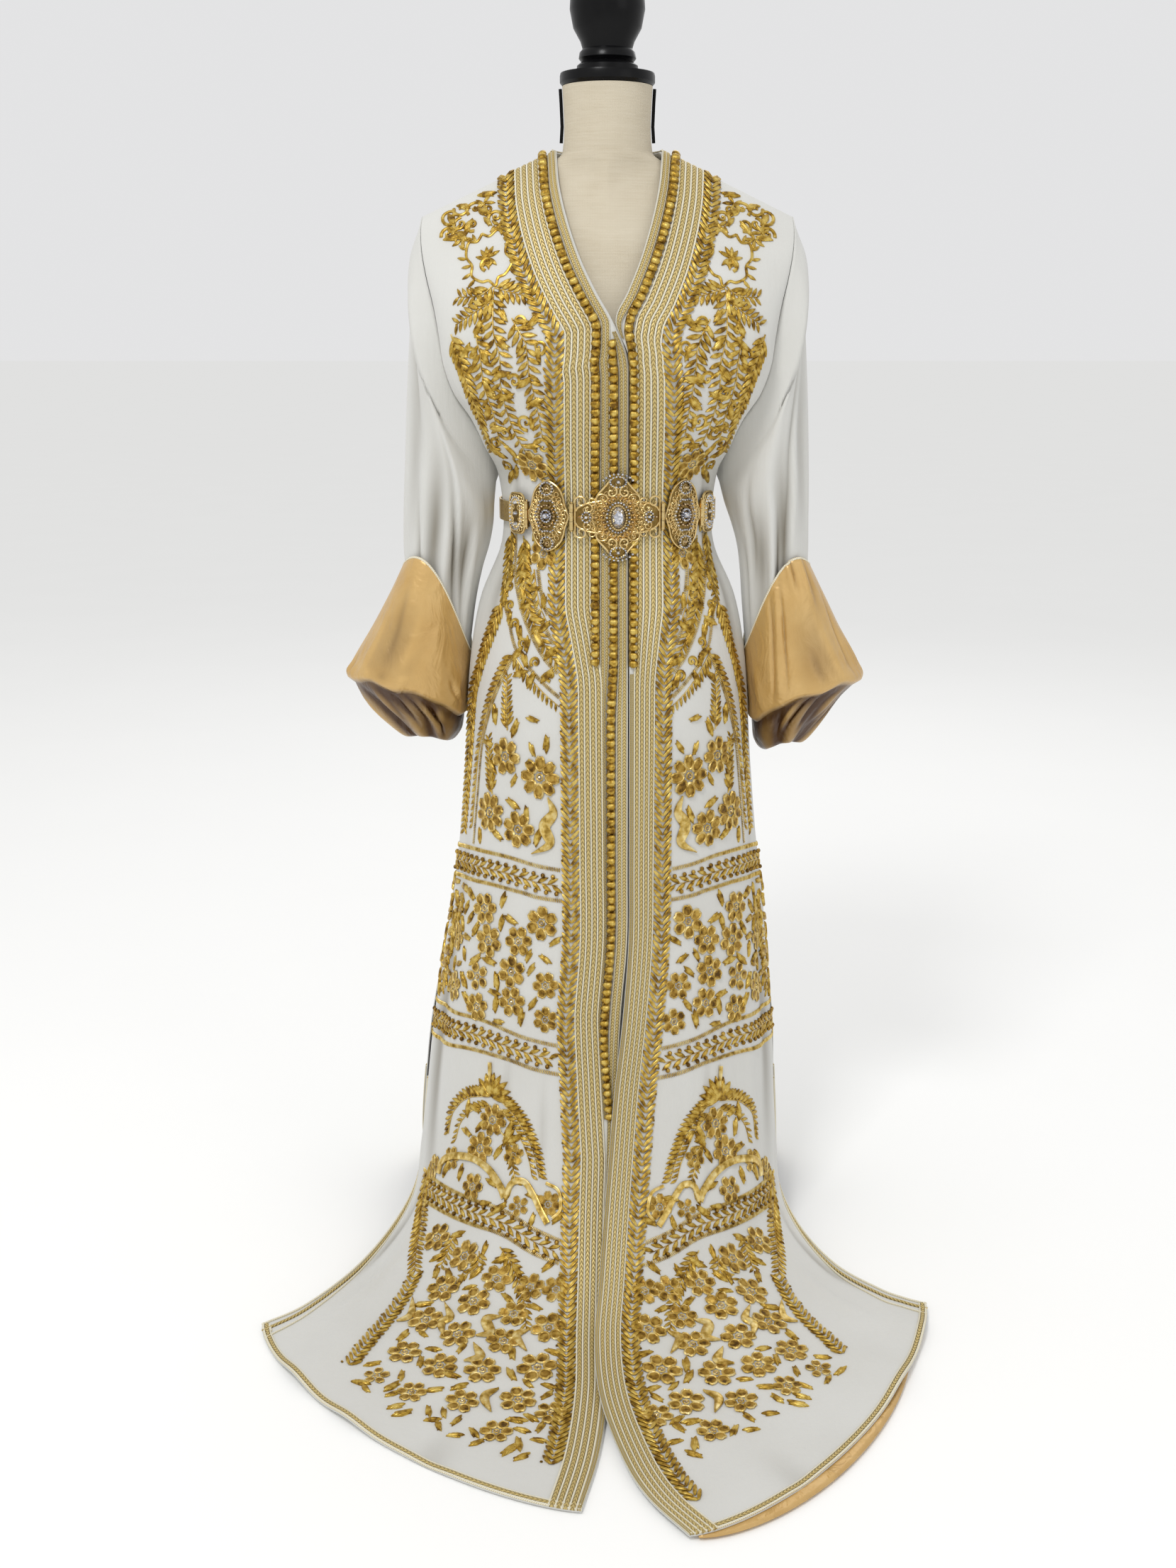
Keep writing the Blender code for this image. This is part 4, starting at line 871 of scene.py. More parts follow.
@dataclass
class Bundle:
    """Loose shapes gathered on one surface, to become one mesh."""

    surface: Surface
    mirrored: bool
    points: list[Array] = field(default_factory=list)
    faces: Faces = field(default_factory=list)
    uv: list[Array] = field(default_factory=list)
    count: int = 0

    def add(self, points: Array, faces: Faces, uv: Array) -> None:
        """Add one shape whose points are already in place."""
        start = self.count
        if self.mirrored:
            self.faces += [tuple(start + k for k in reversed(face)) for face in faces]
        else:
            self.faces += [tuple(start + k for k in face) for face in faces]
        self.points.append(points)
        self.uv.append(uv)
        self.count += len(points)

    def lay(self, shape: Prototype, u: Array, v: Array, turn: Array | float = 0.0,
            size: Array | float = 1.0, lift: float = 0.0, x: float = 0.0, y: float = 0.0) -> None:
        """Lay copies of a prototype on the surface, bent to it.

        Args:
            shape: the prototype.
            u: places across.
            v: places down.
            turn: angle from down towards the side, in radians.
            size: scale of each copy, one number or one for each.
            lift: height over the surface.
            x: shift of the prototype across before it is turned.
            y: shift of the prototype along before it is turned.
        """
        u, v = np.atleast_1d(np.asarray(u, float)), np.atleast_1d(np.asarray(v, float))
        u = np.clip(u, *self.surface.u_range)
        v = np.clip(v, *self.surface.v_range)
        count = len(u)
        turn = np.broadcast_to(np.asarray(turn, float), (count,))[:, None]
        size = np.broadcast_to(np.asarray(size, float), (count,))[:, None]
        matrix, _, _ = self.surface.local(u, v)
        px, py = (shape.points[:, 0] + x) * size, (shape.points[:, 1] + y) * size
        across = px * np.cos(turn) + py * np.sin(turn)
        down = py * np.cos(turn) - px * np.sin(turn)
        us = u[:, None] + matrix[:, None, 0, 0] * across + matrix[:, None, 0, 1] * down
        vs = v[:, None] + matrix[:, None, 1, 1] * down
        placed = self.surface.point(us, vs, lift + shape.points[:, 2] * size)
        corners = len(shape.points)
        faces = [tuple(k + copy * corners for k in face) for copy in range(count) for face in shape.faces]
        self.add(placed.reshape(-1, 3), faces, np.tile(shape.uv, (count, 1)))

    def rope(self, u: Array, v: Array, width: Array | float, height: float, lift: float = 0.0,
             flat: bool = False) -> None:
        """Lay a cord or braid along a route on the surface.

        Args:
            u: places across, along the route.
            v: places down, along the route.
            width: its width, one number or one for each place.
            height: how far it stands up.
            lift: height of its underside over the surface.
            flat: whether its top is flat, as a ribbon's, or round.
        """
        width = np.broadcast_to(np.asarray(width, float), u.shape)
        base = self.surface.point(u, v, lift)
        up = self.surface.normal(np.clip(u, *self.surface.u_range), np.clip(v, *self.surface.v_range))
        way = unit(np.gradient(base, axis=0))
        aside = unit(np.cross(way, up)) * (-1 if self.mirrored else 1)
        section = ((-0.5, 0.0), (-0.40, 0.75), (0.0, 1.0), (0.40, 0.75), (0.5, 0.0))
        if flat:
            section = ((-0.5, 0.0), (-0.44, 0.8), (0.0, 1.0), (0.44, 0.8), (0.5, 0.0))
        points = np.stack([base + aside * (a * width)[:, None] + up * (b * height) for a, b in section], axis=1)
        run = run_of(base)
        uv = np.stack([np.stack((np.full(len(u), a + 0.5), run / max(float(width.mean()), 1e-6)), axis=-1)
                       for a, _ in section], axis=1)
        steps, n = len(u), len(section)
        faces = grid_faces(steps, n, wrap=True)
        faces.append(tuple(range(n)))
        faces.append(tuple(reversed(range((steps - 1) * n, steps * n))))
        self.add(points.reshape(-1, 3), faces, uv.reshape(-1, 2))

    def made(self, name: str, material: Material, smooth: float = 50.0) -> Item:
        """Turn what was gathered into one mesh object.

        Args:
            name: name of the piece.
            material: its finish.
            smooth: angle in degrees up to which its edges are shaded smooth.

        Returns:
            The new object, at the origin.
        """
        item = mesh_object(name, np.concatenate(self.points), self.faces, material, np.concatenate(self.uv))
        only(item)
        bpy.ops.object.mode_set(mode="EDIT")
        bpy.ops.mesh.select_all(action="SELECT")
        bpy.ops.mesh.normals_make_consistent(inside=False)
        bpy.ops.object.mode_set(mode="OBJECT")
        bpy.ops.object.shade_smooth_by_angle(angle=math.radians(smooth))
        return item


def grid_faces(rows: int, columns: int, wrap: bool = False) -> Faces:
    """Four-sided faces between the points of a grid, which may close round a tube."""
    return [(i * columns + j, (i + 1) * columns + j, (i + 1) * columns + (j + 1) % columns,
             i * columns + (j + 1) % columns)
            for i in range(rows - 1) for j in range(columns if wrap else columns - 1)]


def thicken(item: Item, wall: float) -> None:
    """Give a sheet its wall, on the inside."""
    only(item)
    solid = item.modifiers.new("wall", "SOLIDIFY")
    solid.thickness = wall
    solid.offset = -1.0
    bpy.ops.object.modifier_apply(modifier=solid.name)


def mesh_object(name: str, points: Array, faces: Faces, material: Material,
                uv: Array | None = None) -> Item:
    """Make a mesh object from points and faces, with a map if one is given."""
    mesh = bpy.data.meshes.new(name)
    mesh.from_pydata(points.tolist(), [], faces)
    item = bpy.data.objects.new(name, mesh)
    bpy.context.scene.collection.objects.link(item)
    mesh.materials.append(material)
    mesh.shade_smooth()
    if uv is not None:
        layer = mesh.uv_layers.new(name="cloth")
        corners = np.zeros(len(mesh.loops), np.int32)
        mesh.loops.foreach_get("vertex_index", corners)
        layer.data.foreach_set("uv", uv[corners].astype(np.float32).ravel())
    return item


def cloth(name: str, surface: Surface, u: Array, v: Array, material: Material, wall: float,
          wrap: bool = False, flip: bool = False) -> Item:
    """A sheet of cloth through a grid of a surface, with its wall on the inside.

    Args:
        name: name of the piece.
        surface: the form it follows.
        u: places across.
        v: places down.
        material: its finish.
        wall: thickness of the cloth.
        wrap: whether it closes round a tube.
        flip: whether its faces are turned over, so that they point outwards.

    Returns:
        The piece, with Solidify applied.
    """
    points = surface.point(u[None, :], v[:, None])
    faces = [face[::-1] if flip else face for face in grid_faces(len(v), len(u), wrap)]
    across = np.cumsum(np.linalg.norm(np.diff(points, axis=1, prepend=points[:, :1]), axis=2), axis=1)
    along = np.cumsum(np.linalg.norm(np.diff(points, axis=0, prepend=points[:1]), axis=2), axis=0)
    uv = np.stack((across, along), axis=-1).reshape(-1, 2)
    item = mesh_object(name, points.reshape(-1, 3), faces, material, uv)
    # painted shade of the folds, kept in the 'shade' attribute that darkens the cloth's colour
    depth = np.broadcast_to(surface.shade(u[None, :], v[:, None]), points.shape[:2])
    item.data.attributes.new("shade", "FLOAT", "POINT").data.foreach_set("value", depth.reshape(-1))
    thicken(item, wall)
    item.data.shade_smooth()
    return item


def linear(code: str) -> tuple[float, float, float, float]:
    """Linear colour of an sRGB hex value."""
    parts = [int(code[k:k + 2], 16) / 255 for k in (1, 3, 5)]
    return (*(c / 12.92 if c <= 0.04045 else ((c + 0.055) / 1.055) ** 2.4 for c in parts), 1.0)


def plug(tree: Tree, node: bpy.types.Node, inputs: dict[Any, Any]) -> None:
    """Set or link the inputs of a node, each by its name or number."""
    for key, value in inputs.items():
        if isinstance(value, Socket):
            tree.links.new(value, node.inputs[key])
        else:
            node.inputs[key].default_value = value


def add_node(tree: Tree, kind: str, inputs: dict[Any, Any] | None = None, out: int | str = 0,
             **settings: Any) -> Socket:
    """Add a node, set it, and set or link its inputs.

    Args:
        tree: the material's node tree.
        kind: the node's type, after ShaderNode.
        inputs: value or source socket for each input, by name or number.
        out: the output that is wanted, by name or number.
        settings: properties of the node itself.

    Returns:
        The wanted output of the new node.
    """
    node = tree.nodes.new("ShaderNode" + kind)
    for key, value in settings.items():
        setattr(node, key, value)
    plug(tree, node, inputs or {})
    return node.outputs[out]


@dataclass(frozen=True)
class Finish:
    """A real material and how its surface was made."""

    name: str

    def build(self) -> Material:
        """Make the material with its nodes."""
        material = bpy.data.materials.new(self.name)
        material.use_nodes = True
        tree = material.node_tree
        plug(tree, tree.nodes["Principled BSDF"], self.dressed(tree))
        return material

    def dressed(self, tree: Tree) -> dict[str, Any]:
        """Inputs of the shader, with the patterns that drive them."""
        raise NotImplementedError


def place(tree: Tree, stretch: tuple[float, float, float] = (1, 1, 1)) -> Socket:
    """Object coordinates in metres, stretched."""
    spot = add_node(tree, "TexCoord", out="Object")
    return add_node(tree, "Mapping", {"Vector": spot, "Scale": stretch}, "Vector")


def folded(tree: Tree, share: Socket, first: str, second: str, deep: str) -> Socket:
    """Colour between two by a share, turned towards a painted shade colour where the cloth lies in a fold."""
    face = add_node(tree, "Mix", {0: share, 6: linear(first), 7: linear(second)}, **COLOURS)
    # painted shade: the 'shade' attribute darkens the colour in folds and under the cuffs' lip
    depth = add_node(tree, "Attribute", out="Fac", attribute_name="shade")
    return add_node(tree, "Mix", {0: depth, 6: face, 7: linear(deep)}, **COLOURS)


@dataclass(frozen=True)
class Crepe(Finish):
    """Ivory crepe: twisted yarns give a matt, slightly pebbled face with a faint sheen."""

    light: str = "#d5d5d1"
    shade: str = "#c9c8c2"
    # painted shade in the folds
    deep: str = "#7a7364"
    pebble: float = 0.0012   # the real pebble is about 0.5 mm, drawn coarser so that it shows
    pucker: float = 0.006    # spacing of the fine vertical puckers

    def dressed(self, tree: Tree) -> dict[str, Any]:
        """Pebble and puckers by bump, soft changes of tone, and painted shade in the folds."""
        tone = add_node(tree, "TexNoise", {"Vector": place(tree), "Scale": 9.0, "Detail": 3.0})
        pebbles = add_node(tree, "TexNoise", {"Vector": place(tree), "Scale": 1 / self.pebble, "Detail": 2.0})
        puckers = add_node(tree, "TexNoise", {"Vector": place(tree, (1, 1, 0.10)), "Scale": 1 / self.pucker,
                                              "Detail": 2.0})
        soft = add_node(tree, "Bump", {"Height": puckers, "Strength": 0.30, "Distance": 0.0016})
        fine = add_node(tree, "Bump", {"Height": pebbles, "Strength": 0.35, "Distance": 0.0003, "Normal": soft})
        return {"Base Color": folded(tree, tone, self.light, self.shade, self.deep), "Normal": fine,
                "Roughness": 0.78, "Sheen Weight": 0.25, "Sheen Roughness": 0.5, "Specular IOR Level": 0.35}


@dataclass(frozen=True)
class Satin(Finish):
    """Gold satin: long floats of smooth thread give a soft shine and small crumples."""

    light: str = "#dbb878"
    shade: str = "#bb914c"
    # painted shade in the folds and under the cuffs' lip
    deep: str = "#46290a"
    crumple: float = 0.030   # spacing of the crumples

    def dressed(self, tree: Tree) -> dict[str, Any]:
        """Crumples and thread lines by bump, darker tone between, and painted shade in the folds and under the lip.
        """
        tone = add_node(tree, "TexNoise", {"Vector": place(tree), "Scale": 22.0, "Detail": 4.0})
        crumples = add_node(tree, "TexNoise", {"Vector": place(tree, (1, 1, 0.6)), "Scale": 1 / self.crumple,
                                               "Detail": 3.0, "Distortion": 0.8})
        threads = add_node(tree, "TexWave", {"Vector": place(tree), "Scale": 260.0, "Distortion": 1.5}, 1,
                           wave_type="BANDS", bands_direction="DIAGONAL")
        soft = add_node(tree, "Bump", {"Height": crumples, "Strength": 0.55, "Distance": 0.008})
        fine = add_node(tree, "Bump", {"Height": threads, "Strength": 0.12, "Distance": 0.0002, "Normal": soft})
        return {"Base Color": folded(tree, tone, self.light, self.shade, self.deep), "Normal": fine,
                "Roughness": 0.34, "Metallic": 0.25, "Specular IOR Level": 0.75}


@dataclass(frozen=True)
class Braid(Finish):
    """Plaited cord: two rows of slanted strands meet along its middle, like a herringbone."""

    light: str
    dark: str
    metallic: float
    roughness: float = 0.45
    strands: float = 0.9     # strands for each width of the cord
    slope: float = 1.6

    def dressed(self, tree: Tree) -> dict[str, Any]:
        """Herringbone from the cord's own map: x runs across it and y along it."""
        across = add_node(tree, "SeparateXYZ", {0: add_node(tree, "UVMap", uv_map="cloth")})
        offset = add_node(tree, "Math", {0: across, 1: 0.5}, operation="SUBTRACT")
        aside = add_node(tree, "Math", {0: offset}, operation="ABSOLUTE")
        slant = add_node(tree, "Math", {0: aside, 1: self.slope}, operation="MULTIPLY")
        along = add_node(tree, "Math", {0: across.node.outputs[1], 1: self.strands}, operation="MULTIPLY")
        turned = add_node(tree, "Math", {0: along, 1: slant}, operation="SUBTRACT")
        saw = add_node(tree, "Math", {0: turned}, operation="FRACT")
        half_turn = add_node(tree, "Math", {0: saw, 1: math.pi}, operation="MULTIPLY")
        arch = add_node(tree, "Math", {0: half_turn}, operation="SINE")
        reach = add_node(tree, "Math", {0: aside, 1: 2.0}, operation="MULTIPLY")
        steep = add_node(tree, "Math", {0: reach, 1: 6.0}, operation="POWER")
        rim = add_node(tree, "Math", {0: steep, 1: 0.6}, operation="MULTIPLY")
        height = add_node(tree, "Math", {0: arch, 1: rim}, operation="SUBTRACT")
        raised = add_node(tree, "Math", {0: height, 1: 0.0}, operation="MAXIMUM")
        share = add_node(tree, "Math", {0: raised, 1: 0.7}, operation="POWER")
        relief = add_node(tree, "Bump", {"Height": height, "Strength": 0.6, "Distance": 0.0008})
        colour = add_node(tree, "Mix", {0: share, 6: linear(self.dark), 7: linear(self.light)}, **COLOURS)
        return {"Base Color": colour, "Normal": relief, "Metallic": self.metallic, "Roughness": self.roughness}


@dataclass(frozen=True)
class GoldThread(Finish):
    """Lurex thread laid side by side in satin stitch: bright lines with dark gaps."""

    light: str = "#e8cc70"
    middle: str = "#be9938"
    dark: str = "#735318"
    thread: float = 1.1      # mm between threads, drawn at about twice the real spacing

    def dressed(self, tree: Tree) -> dict[str, Any]:
        """Thread lines from the shape's own map in millimetres, with uneven tone."""
        across = add_node(tree, "SeparateXYZ", {0: add_node(tree, "UVMap", uv_map="cloth")})
        turn = add_node(tree, "Math", {0: across, 1: 2 * math.pi / self.thread}, operation="MULTIPLY")
        wave = add_node(tree, "Math", {0: turn}, operation="SINE")
        above = add_node(tree, "Math", {0: wave, 1: 1.0}, operation="ADD")
        lines = add_node(tree, "Math", {0: above, 1: 0.5}, operation="MULTIPLY")
        tone = add_node(tree, "TexNoise", {"Vector": place(tree), "Scale": 130.0, "Detail": 2.0})
        face = add_node(tree, "ValToRGB", {0: tone})
        ramp = face.node.color_ramp
        ramp.elements[0].position, ramp.elements[0].color = 0.32, linear(self.dark)
        ramp.elements[1].position, ramp.elements[1].color = 0.66, linear(self.light)
        ramp.elements.new(0.47).color = linear(self.middle)
        gap = add_node(tree, "Math", {0: lines, 1: 0.35}, operation="MULTIPLY")
        colour = add_node(tree, "Mix", {0: gap, 6: face, 7: linear(self.dark)}, **COLOURS)
        relief = add_node(tree, "Bump", {"Height": lines, "Strength": 0.5, "Distance": 0.0004})
        return {"Base Color": colour, "Normal": relief, "Metallic": 0.75, "Roughness": 0.36}


@dataclass(frozen=True)
class Gilt(Finish):
    """Cast and gilt metal, polished on the high places and dull in the pierced ones; its dark copy under the belt's
    openwork is painted shade.
    """

    light: str = "#f0deaa"
    dark: str = "#c29b50"

    def dressed(self, tree: Tree) -> dict[str, Any]:
        """Uneven polish and a fine grain from casting."""
        tone = add_node(tree, "TexNoise", {"Vector": place(tree), "Scale": 220.0, "Detail": 3.0})
        grain = add_node(tree, "TexNoise", {"Vector": place(tree), "Scale": 900.0})
        return {"Base Color": add_node(tree, "Mix", {0: tone, 6: linear(self.dark), 7: linear(self.light)},
                                       **COLOURS),
                "Metallic": 1.0,
                "Roughness": add_node(tree, "MapRange", {0: tone, 3: 0.20, 4: 0.38}),
                "Normal": add_node(tree, "Bump", {"Height": grain, "Strength": 0.3, "Distance": 0.0002})}


@dataclass(frozen=True)
class Crystal(Finish):
    """Foil-backed cut glass: the foil throws the light straight back through the facets."""

    colour: str
    tint: str

    def dressed(self, tree: Tree) -> dict[str, Any]:
        """Bright facets of slightly different tone."""
        cells = add_node(tree, "TexVoronoi", {"Vector": place(tree), "Scale": 520.0}, "Color")
        share = add_node(tree, "SeparateColor", {0: cells})
        tone = add_node(tree, "Mix", {0: share, 6: linear(self.colour), 7: linear(self.tint)}, **COLOURS)
        return {"Base Color": tone, "Metallic": 0.85, "Roughness": 0.06, "Coat Weight": 0.8,
                "Coat Roughness": 0.02}


@dataclass(frozen=True)
class Linen(Finish):
    """Natural linen: plain weave with thick and thin yarns, matt and slightly mottled."""

    light: str = "#d0c7b3"
    dark: str = "#b5a88f"
    yarn: float = 0.0014     # the real yarn is 0.6 mm, drawn coarser so that it shows

    def dressed(self, tree: Tree) -> dict[str, Any]:
        """Weave from crossed waves, slubs from stretched noise."""
        warp, weft = (add_node(tree, "TexWave", {"Vector": place(tree), "Scale": 1 / self.yarn / 3.2,
                                                 "Distortion": 2.0, "Detail Scale": 3.0}, 1,
                               bands_direction=way) for way in "ZX")
        weave = add_node(tree, "Math", {0: warp, 1: weft}, operation="MULTIPLY")
        slubs = add_node(tree, "TexNoise", {"Vector": place(tree, (0.2, 0.2, 4.0)), "Scale": 160.0})
        stain = add_node(tree, "TexNoise", {"Vector": place(tree), "Scale": 16.0, "Detail": 4.0})
        rough = add_node(tree, "Math", {0: weave, 1: slubs}, operation="ADD")
        tone = add_node(tree, "Math", {0: rough, 1: stain}, operation="MULTIPLY")
        relief = add_node(tree, "Bump", {"Height": weave, "Strength": 0.35, "Distance": 0.0004})
        colour = add_node(tree, "Mix", {0: tone, 6: linear(self.light), 7: linear(self.dark)}, **COLOURS)
        return {"Base Color": colour, "Roughness": 0.88, "Normal": relief}


@dataclass(frozen=True)
class Coated(Finish):
    """Black lacquered wood, painted steel or waxed cord: a plain dark coat over a base."""

    colour: str
    roughness: float
    coat: float
    peel: float = 90.0       # waves of the coat for each metre

    def dressed(self, tree: Tree) -> dict[str, Any]:
        """Slightly uneven gloss and the waves that a brushed coat keeps."""
        noise = add_node(tree, "TexNoise", {"Vector": place(tree), "Scale": self.peel, "Detail": 3.0})
        rough = add_node(tree, "MapRange", {0: noise, 3: self.roughness * 0.8, 4: self.roughness * 1.25})
        colour = add_node(tree, "Mix", {0: noise, 6: linear(self.colour), 7: linear("#0c0c0d")}, **COLOURS)
        relief = add_node(tree, "Bump", {"Height": noise, "Strength": 0.08, "Distance": 0.001})
        return {"Base Color": colour, "Roughness": rough, "Specular IOR Level": 0.15,
                "Coat Weight": self.coat, "Coat Roughness": 0.12, "Normal": relief}


@dataclass(frozen=True)
class Plaster(Finish):
    """Matt pale studio floor."""

    colour: str = "#fdfdfb"
    mottle: str = "#fbfbf9"

    def dressed(self, tree: Tree) -> dict[str, Any]:
        """Even pale tone with a faint mottle."""
        noise = add_node(tree, "TexNoise", {"Vector": place(tree), "Scale": 3.0})
        tone = add_node(tree, "Mix", {0: noise, 6: linear(self.colour), 7: linear(self.mottle)}, **COLOURS)
        return {"Base Color": tone, "Roughness": 0.9, "Specular IOR Level": 0.0}


def stuff(finish: Finish) -> Any:
    """A field that holds the material of a finish, built once."""
    return field(default_factory=finish.build)


@dataclass
class Wardrobe:
    """All the finishes of the kaftan, its belt, the form and the floor."""

    crepe: Material = stuff(Crepe("ivory_crepe"))
    satin: Material = stuff(Satin("gold_satin"))
    gold_braid: Material = stuff(Braid("gold_braid", "#d3bd7e", "#6f5a26", 0.45))
    cream_cord: Material = stuff(Braid("cream_cord", "#f3eedb", "#cfc29a", 0.0, 0.6, 1.2))
    dark_braid: Material = stuff(Braid("dark_gold_braid", "#b99a55", "#604a1c", 0.45))
    thread: Material = stuff(GoldThread("gold_thread"))
    bright: Material = stuff(GoldThread("bright_gold_cord", "#f2dfa0", "#d6b662", "#9a7a2e", 0.9))
    petal: Material = stuff(GoldThread("padded_gold_thread", "#cfab52", "#9d782b", "#553b10"))
    gilt: Material = stuff(Gilt("gilt_metal"))
    # dark gilt of the spangles, and the sheet under the belt's openwork, where it is painted shade in the pierced
    # holes
    ground: Material = stuff(Gilt("dark_gilt_and_painted_recess_shade", "#a98a4e", "#46330f"))
    clear: Material = stuff(Crystal("clear_crystal", "#f6f7fb", "#8f93a0"))
    champagne: Material = stuff(Crystal("champagne_crystal", "#f0d9ae", "#8f6a34"))
    linen: Material = stuff(Linen("natural_linen"))
    lacquer: Material = stuff(Coated("black_lacquer", "#030304", 0.30, 0.06))
    steel: Material = stuff(Coated("black_painted_steel", "#0d0d0e", 0.42, 0.2))
    black_cord: Material = stuff(Coated("waxed_black_cord", "#0b0b0c", 0.70, 0.0, 700.0))
    floor: Material = stuff(Plaster("pale_plaster"))


@dataclass
class Studio:
    """Camera at the photograph's height and angle, pale floor, soft light."""

    distance: float = 2.097
    height: float = 1.12
    tilt: float = 15.0
    lens: float = 39.06      # focal length and sensor width in mm
    sensor: float = 36.0
    shift: float = -0.0124
    aim: tuple[float, float, float] = (0.0, 0.0, 0.8)   # middle of the kaftan

    def build(self, finishes: Wardrobe) -> None:
        """Make the camera first, then the floor and the lights."""
        camera = added(bpy.ops.object.camera_add, location=(0.0, -self.distance, self.height),
                       rotation=(math.radians(90 - self.tilt), 0.0, 0.0))
        camera.data.sensor_width = self.sensor
        camera.data.lens = self.lens
        camera.data.shift_x = self.shift
        bpy.context.scene.camera = camera
        bpy.context.scene.view_settings.view_transform = "Standard"
        floor = added(bpy.ops.mesh.primitive_plane_add, size=120.0, location=(0.0, 0.0, -0.0005))
        floor.name = "floor"
        floor.data.materials.append(finishes.floor)
        world = bpy.data.worlds.new("studio")
        bpy.context.scene.world = world
        world.use_nodes = True
        background = world.node_tree.nodes["Background"]
        background.inputs[0].default_value = linear("#fbfbfc")
        background.inputs[1].default_value = 0.80
        self.lamp("key", (-0.9, -2.0, 3.3), 0.8, 40.0)
        self.lamp("fill", (2.4, -2.4, 1.9), 1.6, 5.0)
        self.lamp("behind", (0.5, 2.6, 2.8), 1.8, 14.0)

    def lamp(self, name: str, spot: tuple[float, float, float], size: float, power: float) -> None:
        """Add a soft square light that faces the middle of the kaftan."""
        item = added(bpy.ops.object.light_add, type="AREA", location=spot)
        item.name = name
        item.data.size = size
        item.data.energy = power
        way = np.array(self.aim) - np.array(spot)
        item.rotation_euler = (math.atan2(float(np.hypot(way[0], way[1])), -float(way[2])), 0.0,
                               math.atan2(-float(way[0]), float(way[1])))


def settle(piece: Item, slot: str, *nodes: str) -> Item:
    """Let a piece ride on the part and stand for solids."""
    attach(piece, "root")
    if nodes:
        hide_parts(*nodes)
    LOG.info("%s: %d faces", piece.name, len(piece.data.polygons))
    return piece


@dataclass
class Shapes:
    """The small shapes of the embroidery and the belt, each modelled once."""

    leaf: Prototype
    leaf_back: Prototype
    petal: Prototype
    petal_rim: Prototype
    bar: Prototype
    rung: Prototype
    knot: Prototype
    ring: Prototype
    bead: Prototype
    sequin: Prototype
    stitch: Prototype

    @classmethod
    def modelled(cls) -> Shapes:
        """Model every shape. Lengths are those of a copy at scale 1."""
        leaf = domed(10, 0.0074, 0.0215, ((0.13, 0.16), (0.12, 0.06)), tip=1.15, name="leaf")
        return cls(
            leaf=leaf.curved(0.42, 0.0034),
            leaf_back=leaf.curved(0.42, -0.0034),
            petal=domed(8, 0.0122, 0.0146, ((0.12, 0.01), (0.14, 0.01)), name="petal"),
            petal_rim=rimmed(0.0152, 0.0178, 0.0014),
            bar=rounded(6, 4, (0.0050, 0.0174, 0.0040)),
            rung=rounded(6, 3, (0.0016, 0.0060, 0.0019)),
            knot=knotted(),
            ring=ringed(0.0034, 0.0010),
            bead=rounded(8, 5, (0.0030, 0.0030, 0.0026)),
            sequin=domed(8, 0.0032, 0.0032, ((0.20, 0.02),), name="sequin"),
            stitch=rounded(5, 4, (0.0013, 0.0036, 0.0011)),
        )


@dataclass
class Route:
    """A line on a surface, given by a few places and run smoothly through them."""

    surface: Surface
    u: Array
    v: Array

    @classmethod
    def beside(cls, panel: Panel, places: Sequence[tuple[float, float]], steps: int = 12) -> Route:
        """Route through places given as (w, v), w counted from the chevrons to the side."""
        rows = spline_rows(places, np.linspace(0, len(places) - 1, steps * (len(places) - 1) + 1))
        return cls(panel, panel.beside(rows[:, 0], rows[:, 1]), rows[:, 1])

    def even(self, pitch: float, start: float = 0.0) -> tuple[Array, Array, Array]:
        """Places at an even spacing along the route.

        Args:
            pitch: distance between places, in metres.
            start: distance of the first place from the route's beginning.

        Returns:
            u, v and the route's direction from down towards the side, in radians.
        """
        line = self.surface.smooth(self.u, self.v)
        run = run_of(line)
        spots = np.arange(start, run[-1], pitch)
        u, v = np.interp(spots, run, self.u), np.interp(spots, run, self.v)
        way = unit(np.gradient(line, axis=0))
        _, x_way, y_way = self.surface.local(self.u, self.v)
        turn = np.unwrap(np.arctan2(np.sum(way * x_way, axis=-1), np.sum(way * y_way, axis=-1)))
        return u, v, np.interp(spots, run, turn)


